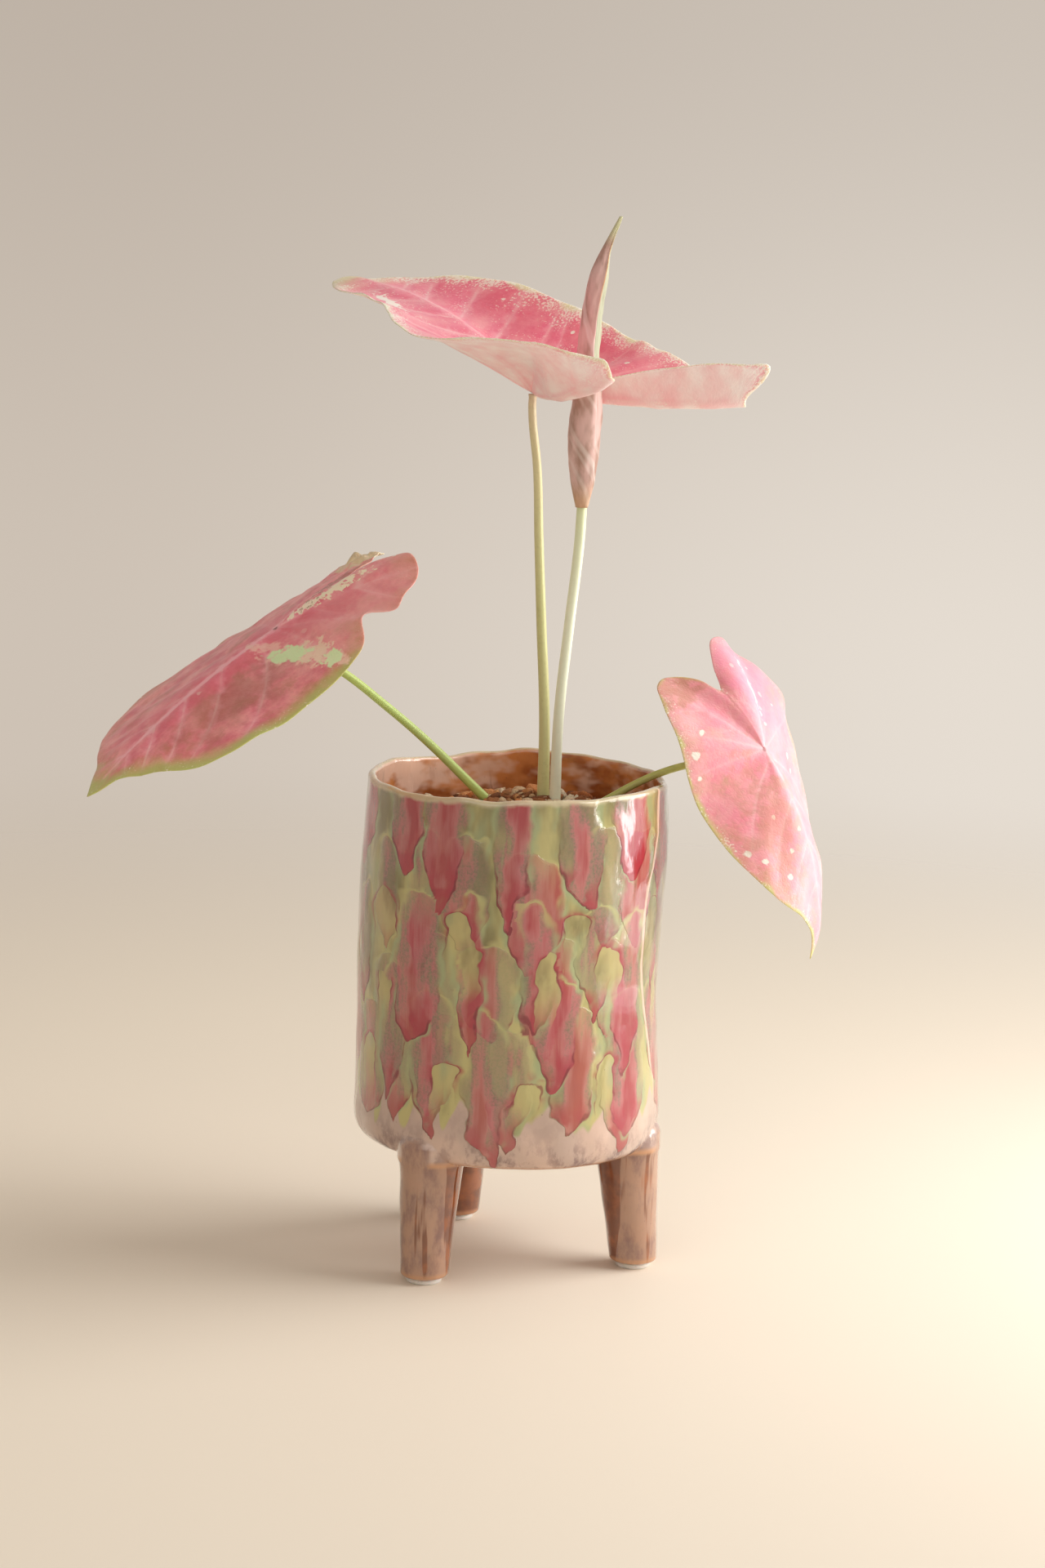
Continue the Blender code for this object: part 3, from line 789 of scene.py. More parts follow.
    def outline(self) -> list[tuple[float, float, float]]:
        """The turned outline: (out from the wall, height, how far the seam shows)."""
        under = [(out, self.base, 0.0) for out in (-50, -38, -26, -16)]
        foot = [(out, self.base + up, float(ease(-6, 0, np.array(out)))) for out, up in self.foot]
        heights = np.linspace(self.base + 11, self.rim - 2.0, self.wall_rows)
        side = [(0.0, float(height), 1.0) for height in heights]
        turn = np.radians(np.linspace(0, 180, 13)[1:])
        half = self.wall / 2
        lip = [(half * (np.cos(a) - 1), self.rim - half + half * np.sin(a),
                float(ease(pi, 0.3, np.array(a)))) for a in turn]
        depths = np.concatenate([np.linspace(3, 24, 16), np.linspace(32, 118, 9)])
        inner = [(-self.wall, self.rim - float(depth), 0.0) for depth in depths]
        floor = self.base + self.floor
        inner += [(-self.wall - out, floor + up, 0.0)
                  for out, up in ((0.4, 3.4), (1.6, 1.6), (3.6, 0.4), (7, 0), (20, 0), (40, 0))]
        return under + foot + side + lip + inner

    def body(self) -> Skin:
        """The turned part as one closed skin."""
        dense = np.array((0.12, 0.32, 0.55, 0.85, 1.3, 1.9, 2.6))
        plain = np.linspace(3.4, 356.6, self.columns - 2 * len(dense))
        offsets = np.concatenate([dense - 0.12 + 0.02, plain, 360 - dense[::-1]])
        rows = np.stack([self.ring(out, height, offsets, outside)
                         for out, height, outside in self.outline()])
        return closed_grid(rows, (*self.middle, self.base),
                           (*self.middle, self.base + self.floor))

    def leg(self, name: str) -> Skin:
        """A leg: its radius grows from the foot up, its outer side stands upright.

        The foot's edge is a quarter round, and the top stays inside the clay of
        the floor and the wall.

        Args:
            name: Which leg.

        Returns:
            It as a closed skin.
        """
        (x, y), lean = self.legs[name]
        rows = [(self.leg_foot + self.leg_edge * (1 - np.cos(a)), -self.leg_edge * (1 - np.sin(a)))
                for a in np.radians(np.linspace(0, 90, 7))]
        rows += [(float(height), 0.0)
                 for height in np.linspace(self.leg_foot + 2.2, self.leg_top, 40)]
        rows += [(self.leg_top + up, -cut) for up, cut in self.leg_dome]
        turn = once_round(self.leg_columns)
        rings = []
        for height, cut in rows:
            along = min((height - self.leg_foot) / (self.leg_top - self.leg_foot), 1.0)
            radius = self.leg_radii[0] + along * (self.leg_radii[1] - self.leg_radii[0]) + cut
            radius += 0.9 * float(np.exp(-max(self.base - height, 0.0) / 1.5))
            uneven = ripple(polar(turn, radius, height) + (x, y, 0.0), 16.0, 21)
            radius = radius + 0.22 * uneven * min(1.0, (height - 1) / 8)
            nearer = 1 - along * lean / float(np.hypot(x, y))
            ring = polar(turn, radius, height) + (x * nearer, y * nearer, 0.0)
            reach = np.hypot(ring[:, 0] - self.middle[0], ring[:, 1] - self.middle[1])
            roof = 46.6 + 8 * ease(51.6, 53.6, reach) + 0.01 * height
            ring[:, 2] = np.minimum(ring[:, 2], roof)
            rings.append(ring)
        return closed_grid(np.stack(rings), (x, y, self.leg_foot), rings[-1].mean(axis=0))

    def mesh(self) -> bpy.types.Mesh:
        """Body and legs joined into one closed mesh."""
        body = new_object("pot_body", skin_mesh("pot_body", self.body()))
        for name in self.legs:
            leg = new_object("leg", skin_mesh("leg", self.leg(name)))
            joint = body.modifiers.new("Leg", "BOOLEAN")
            joint.operation = "UNION"
            joint.solver = "MANIFOLD"
            joint.object = leg
            graph = bpy.context.evaluated_depsgraph_get()
            joined = bpy.data.meshes.new_from_object(body.evaluated_get(graph))
            body.modifiers.clear()
            body.data = joined
            bpy.data.objects.remove(leg, do_unlink=True)
        made = body.data
        bpy.data.objects.remove(body, do_unlink=True)
        made.polygons.foreach_set("use_smooth", np.ones(len(made.polygons), bool))
        return made

    def paint(self, points: Array) -> dict[str, Array]:
        """Where each point lies on the pot, and how it lies to each coat of dabs.

        Args:
            points: The mesh's points.

        Returns:
            What is painted on them, by name.
        """
        x, y = points[:, 0] - self.middle[0], points[:, 1] - self.middle[1]
        direction, reach, height = np.degrees(np.arctan2(y, x)), np.hypot(x, y), points[:, 2]
        rim = self.rim + self.rim_rise(direction)
        wall = self.radius + self.out_of_round(direction, height) - self.wall / 2
        inside = ease(0.2, 1.0, wall - reach) * ease(self.base + 2, self.base + 6, height)
        lip = np.hypot(np.maximum(np.abs(reach - wall) - 0.6, 0), rim - height)
        lip *= np.where(reach < wall, 2.4, 1.0)
        under = 1 - ease(self.base - 0.4, self.base + 0.6, height)
        beyond = ease(1.0, 1.7, reach - wall - self.wall / 2 - self.overlap(direction, height))
        leg = np.maximum(under, beyond * (1 - ease(self.base + 8, self.base + 12, height)))
        seam = np.radians(self.seam_away(direction, height)) * self.radius
        paint = {"inside": inside, "lip": lip, "leg": leg, "seam": seam,
                 "seam_shown": ease(*self.seam_foot, height)}
        arc = np.radians(direction) * self.radius
        place = polar(np.radians(direction), self.radius, height)
        arc += 1.5 * ripple(place, 17.0, 31) + 0.6 * ripple(place, 6.0, 32)
        drop = 2.2 * ripple(place, 20.0, 33) + 0.8 * ripple(place, 7.0, 34)
        for name, coat in self.coats().items():
            paint[name] = coat.paint(arc, height + drop, self.girth)
        return paint

    @staticmethod
    def coats() -> dict[str, Dabs]:
        """The three coats, from the lowest to the one on top, and the gaps left in them."""
        return {
            "coat_low": Dabs(((122, 15, 0.0), (98, 15, 9.0)), 41, 40, 8.2),
            "coat_middle": Dabs(((163, 16, 9.0), (106, 15, 3.0)), 42, 43, 8.0),
            "coat_high": Dabs(((194, 15, 4.0), (141, 15, 13.0)), 43, 46, 7.6),
            "gap": Dabs(((141, 9, 6.0), (118, 11, 19.0), (83, 12, 2.0)), 44, 27, 5.0)}


@dataclass
class FootPad:
    """A soft white disc under one leg: a turned outline with rounded edges."""

    x: float
    y: float
    radius: float = 6.3
    thick: float = 1.9
    sides: int = 56

    def mesh(self, name: str) -> bpy.types.Mesh:
        """The disc's mesh, under this name.

        Args:
            name: The mesh's name.

        Returns:
            The mesh.
        """
        half, foot = self.thick / 2, np.array((self.x, self.y, 0.0))
        rows = [polar(once_round(self.sides), self.radius - 0.6 * half * (1 - np.cos(a)),
                      half + half * np.sin(a)) for a in np.radians(np.linspace(-90, 90, 9))]
        return skin_mesh(name, closed_grid(np.stack(rows) + foot, foot, foot + (0, 0, self.thick)))


# The soil.

class Grain(Enum):
    """Kinds of grain in the mix: (name, how many, least and most radius, seed)."""

    PUMICE = ("pumice", 120, 1.3, 2.9, 61)
    CLAY = ("clay", 190, 1.2, 3.1, 62)
    BARK = ("bark", 150, 1.4, 3.4, 63)
    CRUMB = ("crumb", 260, 0.7, 1.5, 64)


@dataclass
class SoilBed:
    """The filling: a lumpy surface, covered with coarse grains.

    The surface's height is its edge height, plus a bell about the stalks, plus
    uneven lumps.
    """

    middle: tuple[float, float] = (-0.6, 0.0)
    radius: float = 51.0
    edge: float = 158.6
    bottom: float = 49.6
    crown: tuple[float, float] = (6.0, 9.0)
    crown_rise: float = 7.5
    crown_wide: float = 26.0
    columns: int = 120

    def height(self, x: Array, y: Array) -> Array:
        """Height of the surface at these places.

        Args:
            x: Places to the right.
            y: Places to the back.

        Returns:
            The heights.
        """
        away = ((x - self.crown[0]) ** 2 + (y - self.crown[1]) ** 2) / self.crown_wide**2
        lumps = ripple(np.stack([x, y], -1), 11.0, 51)
        return self.edge + self.crown_rise * np.exp(-away) + 0.8 * lumps

    def bed(self) -> Skin:
        """The bed as a closed skin: a plain side, and rings over the surface."""
        turn, middle = once_round(self.columns), (*self.middle, 0.0)
        side = ((self.radius - 6, self.bottom), (self.radius - 1, self.bottom + 3),
                (self.radius, 80.0), (self.radius, 120.0), (self.radius, 150.0))
        rings = [polar(turn, reach, height) + middle for reach, height in side]
        for reach in np.linspace(self.radius, 1.0, 34):
            ring = polar(turn, reach, 0.0) + middle
            ring[:, 2] = self.height(ring[:, 0], ring[:, 1])
            rings.append(ring)
        top = (*self.middle, float(rings[-1][:, 2].mean()))
        return closed_grid(np.stack(rings), (*self.middle, self.bottom), top)

    def grains(self, kind: Grain, keep_clear: Array) -> Skin:
        """All grains of one kind, as one skin of rounded, battered blocks.

        Each grain is a cube whose faces are split in four, drawn out towards a
        ball, pushed about at its corners, squashed and turned.

        Args:
            kind: Which grains.
            keep_clear: Stalks' places at the surface: (x, y, radius) in each row.

        Returns:
            The skin; its paint grain holds a drawn number for each grain.
        """
        _, count, least, most, seed = kind.value
        draw = np.random.default_rng(seed)
        block, faces = rounded_block()
        turn = draw.uniform(0, 2 * pi, count)
        reach = (self.radius - most - 0.4) * draw.uniform(0, 1, count) ** 0.5
        size = draw.uniform(least, most, count)
        x = self.middle[0] + reach * np.cos(turn)
        y = self.middle[1] + reach * np.sin(turn)
        for stalk_x, stalk_y, radius in keep_clear:
            away = np.hypot(x - stalk_x, y - stalk_y)
            short = np.maximum(radius + size * 0.9 - away, 0)
            x += short * (x - stalk_x) / np.maximum(away, 0.1)
            y += short * (y - stalk_y) / np.maximum(away, 0.1)
        shapes = block[None] * (1 + draw.normal(0, 0.13, (count, len(block), 1)))
        flat, sunk = ((1.3, 0.75, 0.42), 0.30) if kind is Grain.BARK else ((1.0, 0.8, 0.62), 0.6)
        shapes = shapes * np.array(flat) * size[:, None, None]
        spins = np.stack([np.array(Euler(tuple(turns)).to_matrix())
                          for turns in draw.uniform(-pi, pi, (count, 3))
                          * np.array((0.2, 0.2, 1.0))])
        shapes = np.einsum("nij,npj->npi", spins, shapes)
        lift = self.height(x, y) + sunk * size
        shapes += np.stack([x, y, lift], -1)[:, None, :]
        first = np.arange(count)[:, None, None] * len(block)
        tone = np.repeat(draw.uniform(0, 1, count), len(block))
        return Skin(shapes.reshape(-1, 3), [(faces[None] + first).reshape(-1, 4)], {"grain": tone})


def rounded_block() -> tuple[Array, Array]:
    """A cube with each face in four, drawn three quarters of the way to a ball.

    Returns:
        Its 26 points and its 24 faces, facing out.
    """
    steps = np.array((-1.0, 0.0, 1.0))
    cube = np.array([(x, y, z) for x in steps for y in steps for z in steps if x or y or z])
    number = {tuple(point): index for index, point in enumerate(cube)}
    faces = []
    for axis in range(3):
        for side in (-1.0, 1.0):
            for a in (-1.0, 0.0):
                for b in (-1.0, 0.0):
                    corners = [(a, b), (a + 1, b), (a + 1, b + 1), (a, b + 1)]
                    square = [np.insert(corner, axis, side) for corner in corners]
                    turned = (side > 0) == (axis == 1)
                    face = [number[tuple(corner)] for corner in square]
                    faces.append(face[::-1] if turned else face)
    ball = cube / np.linalg.norm(cube, axis=1)[:, None]
    return 0.75 * ball + 0.25 * cube, np.array(faces)


# The leaf stalks.

def smooth_line(points: Array, steps: int) -> Array:
    """A smooth line through points: Bezier arcs whose handles even out the turns.

    A handle lies along the sum of the unit ways to both neighbours, and reaches
    its neighbour's distance over 2.5614 times that sum's length.

    Args:
        points: What it goes through.
        steps: Points on each arc.

    Returns:
        The line's points.
    """
    ends = np.concatenate([[2 * points[0] - points[1]], points, [2 * points[-1] - points[-2]]])
    ways = np.diff(ends, axis=0)
    long = np.linalg.norm(ways, axis=1)[:, None]
    turn = ways[:-1] / long[:-1] + ways[1:] / long[1:]
    turn = turn / (2.5614 * np.linalg.norm(turn, axis=1)[:, None])
    before, after = points - turn * long[:-1], points + turn * long[1:]
    t = (np.arange(steps) / steps)[None, :, None]
    a, b, c, d = (part[:, None] for part in (points[:-1], after[:-1], before[1:], points[1:]))
    arcs = a * (1 - t) ** 3 + 3 * b * t * (1 - t) ** 2 + 3 * c * t**2 * (1 - t) + d * t**3
    return np.concatenate([arcs.reshape(-1, 3), points[-1:]])


def tube_rings(line: Array, radii: Array, columns: int) -> Array:
    """Rings carried along a line, square to it, without twist.

    Args:
        line: Its points.
        radii: The ring's radius at each point, or at each point and column.
        columns: Points in a ring.

    Returns:
        The rings' points.
    """
    ways = np.gradient(line, axis=0)
    ways /= np.linalg.norm(ways, axis=1)[:, None]
    side = np.cross(ways, np.array((0.0, 1.0, 0.0)))
    side /= np.linalg.norm(side, axis=1)[:, None]
    other = np.cross(ways, side)
    turn = once_round(columns)[None, :, None]
    circle = side[:, None] * np.cos(turn) + other[:, None] * np.sin(turn)
    return line[:, None] + circle * np.reshape(radii, (len(line), -1, 1))


@dataclass
class LeafStalk:
    """A leaf stalk: a tapered round tube from under the soil up to its blade.

    Attributes:
        route: Points of its middle line above the soil.
        radii: Its radius at the foot and at the top.
        colours: Its colours from the foot to the top.
        buried: How deep it stands in the soil.
        turn: How much of the blade's own facing its top takes on.
        columns: Points round it.
    """

    route: tuple
    radii: tuple[float, float]
    colours: tuple
    buried: float = 14.0
    turn: float = 0.25
    columns: int = 22

    def line(self, goal: Array, facing: Array, droop: float) -> tuple[Array, Array]:
        """The middle line's points and the radii there.

        Args:
            goal: Where it meets its leaf.
            facing: The way that it should arrive, roughly.
            droop: How steeply the blade falls away about the goal.

        Returns:
            The points from the buried end up, and the radius at each.
        """
        route = np.array(self.route, float)
        down = route[0] - route[1]
        buried = route[0] + down / np.linalg.norm(down) * self.buried
        straight = (goal - route[-1]) / np.linalg.norm(goal - route[-1])
        arrival = straight + self.turn * facing
        arrival /= np.linalg.norm(arrival)
        tilt = float(np.linalg.norm(np.cross(arrival, facing)))
        end = goal - arrival * self.radii[1] * (tilt + droop) * 0.6
        knots = np.concatenate([[buried], route, [end - arrival * 5.0], [end]])
        line = smooth_line(knots, 16)
        long = np.concatenate([[0], np.cumsum(np.linalg.norm(np.diff(line, axis=0), axis=1))])
        share = long / long[-1]
        return line, self.radii[0] + share * (self.radii[1] - self.radii[0])

    def skin(self, goal: Array, facing: Array, droop: float) -> Skin:
        """The stalk as a closed skin, faintly ribbed, a little swollen at both ends.

        Args:
            goal: Where it meets its leaf.
            facing: The way that it should arrive, roughly.
            droop: How steeply the blade falls away about the goal.

        Returns:
            The skin; its paint stalk holds the way round and the share of the length.
        """
        line, radii = self.line(goal, facing, droop)
        share = np.linspace(0, 1, len(line))
        swollen = radii * (1 + 0.10 * hump(share, 0.12, 0.10) + 0.16 * hump(share, 1.0, 0.02))
        turn = once_round(self.columns)
        five, three = np.cos(5 * turn[None] + 3 * share[:, None]), np.cos(3 * turn[None] + 1)
        ribs = 1 + 0.025 * five + 0.02 * three
        rings = tube_rings(line, swollen[:, None] * ribs, self.columns)
        skin = closed_grid(rings, line[0], line[-1])
        along = np.append(np.repeat(share, self.columns), (0.0, 1.0))
        spun = np.append(np.tile(turn, len(line)), (0.0, 0.0))
        skin.paint["stalk"] = polar(spun, 1.0, along)
        return skin


# The open blades.

SHIELD = ((0, 1.0), (5, 0.90), (14, 0.80), (32, 0.675), (60, 0.565), (90, 0.515), (115, 0.525),
          (135, 0.60), (150, 0.655), (163, 0.60), (173, 0.44), (180, 0.32))
BEND_PLACES = (0, 35, 75, 115, 140, 162, 180)
LOBE_AT, SINUS_AT, NOTCH_AT, SHOULDER_AT = (150, 20), (180, 14), (118, 12), (35, 20)
LEAST_REACH = 0.11
RAYS = ((0, 0), (0.13, 16), (0.5, 95), (0.8, 150), (1, 180))


def close_to(place: tuple, flat: Array, reach: float) -> Array:
    """A bell of this reach about a place on the flat blade."""
    return hump(np.hypot(flat[:, 0] - place[0], flat[:, 1] - place[1]), 0, reach)


@dataclass(frozen=True)
class Leaf:
    """One blade's shape. Pairs give the half to the tip's left, then the right half.

    A blade is a fan of rays from the stalk point. A ray leaves at its own rise
    and turns by its own curl on its way to the margin, both in degrees; sweep
    and hook bow the tip to one side.
    """

    stalk_point: tuple
    heading: float
    pitch: float
    roll: float
    length: float
    width: tuple
    sweep: float
    hook: float
    lobe: tuple
    notch: tuple
    shoulder: tuple
    sinus: float
    sinus_open: float
    sinus_width: float
    rise: tuple
    curl: tuple

    def reach(self, direction: Array) -> Array:
        """How far the margin lies from the stalk point, as a share of the length.

        Args:
            direction: Degrees from the tip; above 0 is the left half.

        Returns:
            The shield's outline with this leaf's own lobes, notches and sinus.
        """
        off = np.abs(direction)
        left = direction > 0
        places, values = (np.array(row, float) for row in zip(*SHIELD))
        slopes = np.gradient(values, places)
        slopes[0] = (values[1] - values[0]) / (places[1] - places[0])
        slopes[-1] = 0.0
        reach = hermite(off, places, values, slopes)
        reach += (np.where(left, *self.lobe) * hump(off, *LOBE_AT)
                  + self.sinus * hump(off, *SINUS_AT))
        reach -= self.sinus_open * np.exp(-((off - 172) / self.sinus_width) ** 4)
        reach -= np.where(left, *self.notch) * hump(off, *NOTCH_AT)
        reach += np.where(left, *self.shoulder) * hump(off, *SHOULDER_AT)
        return np.maximum(reach, LEAST_REACH)

    def bend(self, direction: Array, halves: tuple) -> Array:
        """Read rise or curl, in radians, by direction.

        Args:
            direction: Degrees from the tip; above 0 is the left half.
            halves: The values for the left half, then for the right.

        Returns:
            One angle for each direction.
        """
        left, right = halves
        places = np.array([-a for a in BEND_PLACES[::-1]] + list(BEND_PLACES[1:]), float)
        values = np.radians(np.array(list(right[::-1]) + list(left[1:]), float))
        return hermite(direction, places, values, np.gradient(values, places))

    def turned(self) -> Array:
        """The leaf's turn: rolled about its length, tipped, then turned to its heading."""
        turn = (Matrix.Rotation(radians(self.heading), 3, "Z")
                @ Matrix.Rotation(radians(-self.pitch), 3, "Y")
                @ Matrix.Rotation(radians(self.roll), 3, "X"))
        return np.array(turn)

    def flat(self, share: Array, direction: Array) -> Array:
        """The same points on the blade laid flat: forward to the tip, and left, in millimetres.

        Args:
            share: How far out: 0 is the stalk point, 1 the margin.
            direction: Degrees from the tip; above 0 is the left half.

        Returns:
            Two numbers a point.
        """
        angle = np.radians(direction)
        reach = self.reach(direction) * share * self.length
        across = np.sin(angle) * np.where(direction > 0, *self.width)
        return np.stack([reach * np.cos(angle), reach * across], -1)

    def points(self, share: Array, direction: Array) -> Array:
        """Points of the bent blade: share 0 is the stalk point, 1 the margin.

        Args:
            share: How far out: 0 is the stalk point, 1 the margin.
            direction: Degrees from the tip; above 0 is the left half.

        Returns:
            The points in the pot's frame.
        """
        angle = np.radians(direction)
        reach = self.reach(direction)
        x = reach * np.cos(angle)
        y = reach * np.sin(angle) * np.where(direction > 0, *self.width)
        reach, angle = np.hypot(x, y), np.arctan2(y, x)
        rise = self.bend(direction, self.rise)
        curl = self.bend(direction, self.curl)
        steps = (np.arange(24) + 0.5) / 24
        slope = rise[..., None] + curl[..., None] * share[..., None] * steps
        along = share * reach
        out = np.cos(slope).mean(-1) * along
        up = np.sin(slope).mean(-1) * along
        side = self.sweep * along**2 + self.hook * np.clip(along - 0.8, 0, None) ** 2
        side = side * np.exp(-(angle / 0.5) ** 2)
        points = np.stack([out * np.cos(angle), out * np.sin(angle) + side, up], -1) * self.length
        return points @ self.turned().T + np.array(self.stalk_point)

    def facing(self) -> tuple[Array, float]:
        """The upper side's way at the stalk point, and how steeply the blade droops near it."""
        directions = np.linspace(-180, 180, 72, endpoint=False)
        ring = self.points(np.full(72, 0.06), directions)
        arms = ring - np.array(self.stalk_point)
        way = np.cross(arms, np.roll(arms, -1, axis=0)).sum(axis=0)
        way /= np.linalg.norm(way)
        slopes = (arms @ way) / np.linalg.norm(arms, axis=1)
        return way, float(max(-slopes.min(), 0.0))


@dataclass(frozen=True)
class Veins:
    """The blade's veins as lines on the flat blade, in shares of its length.

    The midrib runs to the tip and two basal ribs run into the lobes. Side veins
    leave a rib at a steep angle and sweep round towards its end: a point at
    distance s along one turns by bend*s from its first direction.
    """

    front: tuple = (0.02, 0.13, 0.27, 0.42, 0.56, 0.69, 0.80)
    front_turn: float = 62.0
    front_bend: float = -60.0
    basal: float = 152.0
    basal_reach: float = 0.62
    basal_sides: tuple = (0.16, 0.34)
    fan: tuple = (97.0, 127.0)

    def lines(self, seed: int) -> list[tuple[Array, float]]:
        """Every vein as (points, strength), with small differences drawn.

        Args:
            seed: Starts the draw.

        Returns:
            The veins, the midrib first.
        """
        draw = np.random.default_rng(seed)
        steps = np.linspace(0, 1, 15)
        lines = [(np.stack([steps * 0.97, np.zeros(15)], -1), 1.0)]
        for side in (1.0, -1.0):
            for start in self.front:
                first = self.front_turn + draw.uniform(-5, 5) - 14 * start
                root = np.array((start + draw.uniform(-0.012, 0.012), 0.0))
                strength = 0.75 - 0.35 * start
                lines.append((self.run(root, first, self.front_bend, 0.62, side), strength))
            for first in self.fan:
                lines.append((self.run(np.zeros(2), first, -28.0, 0.6, side), 0.6))
            lines.append((self.run(np.zeros(2), self.basal, -6.0, self.basal_reach, side), 0.85))
            way = radians(self.basal)
            for start in self.basal_sides:
                root = start * np.array((np.cos(way), np.sin(way) * side))
                lines.append((self.run(root, self.basal - 50, 20.0, 0.35, side), 0.45))
                lines.append((self.run(root, self.basal + 42, -20.0, 0.2, side), 0.4))
        return lines

    @staticmethod
    def run(root: Array, first: float, bend: float, long: float, side: float) -> Array:
        """A line that leaves root at an angle from the midrib and turns evenly.

        Args:
            root: Where it starts.
            first: Its first angle, in degrees.
            bend: How far it turns along one blade's length.
            long: Its length.
            side: 1 for the left half, -1 for the right.

        Returns:
            The line's points.
        """
        steps = np.linspace(0, long, 15)
        angle = np.radians(first + bend * (steps[:-1] + long / 28))
        moves = np.stack([np.cos(angle), np.sin(angle) * side], -1) * (long / 14)
        return root + np.concatenate([np.zeros((1, 2)), np.cumsum(moves, axis=0)])

    def nearest(self, flat: Array, seed: int) -> Array:
        """How each flat point lies to its nearest vein.

        Args:
            flat: Points of the flat blade, in shares of its length.
            seed: Starts the draw of the veins.

        Returns:
            Three numbers a point: signed distance, distance and strength there.
        """
        best = np.full((len(flat), 3), FAR)
        rows = np.arange(len(flat))
        for line, strength in self.lines(seed):
            start, step = line[:-1], np.diff(line, axis=0)
            long = np.linalg.norm(step, axis=1)
            way = step / long[:, None]
            offset = flat[:, None] - start[None]
            along = np.clip((offset * way).sum(-1), 0, long)
            away = np.linalg.norm(offset - along[..., None] * way, axis=-1)
            which = away.argmin(axis=1)
            nearest = offset[rows, which]
            cross = way[which, 0] * nearest[:, 1] - way[which, 1] * nearest[:, 0]
            distance = away[rows, which]
            gone = (which + along[rows, which] / long[which]) / len(step)
            held = strength * (1 - 0.75 * gone)
            nearer = distance / (0.4 + 0.6 * strength) < best[:, 1] / (0.4 + 0.6 * best[:, 2])
            found = np.stack([np.where(cross < 0, -distance, distance), distance, held], -1)
            best[nearer] = found[nearer]
        return best


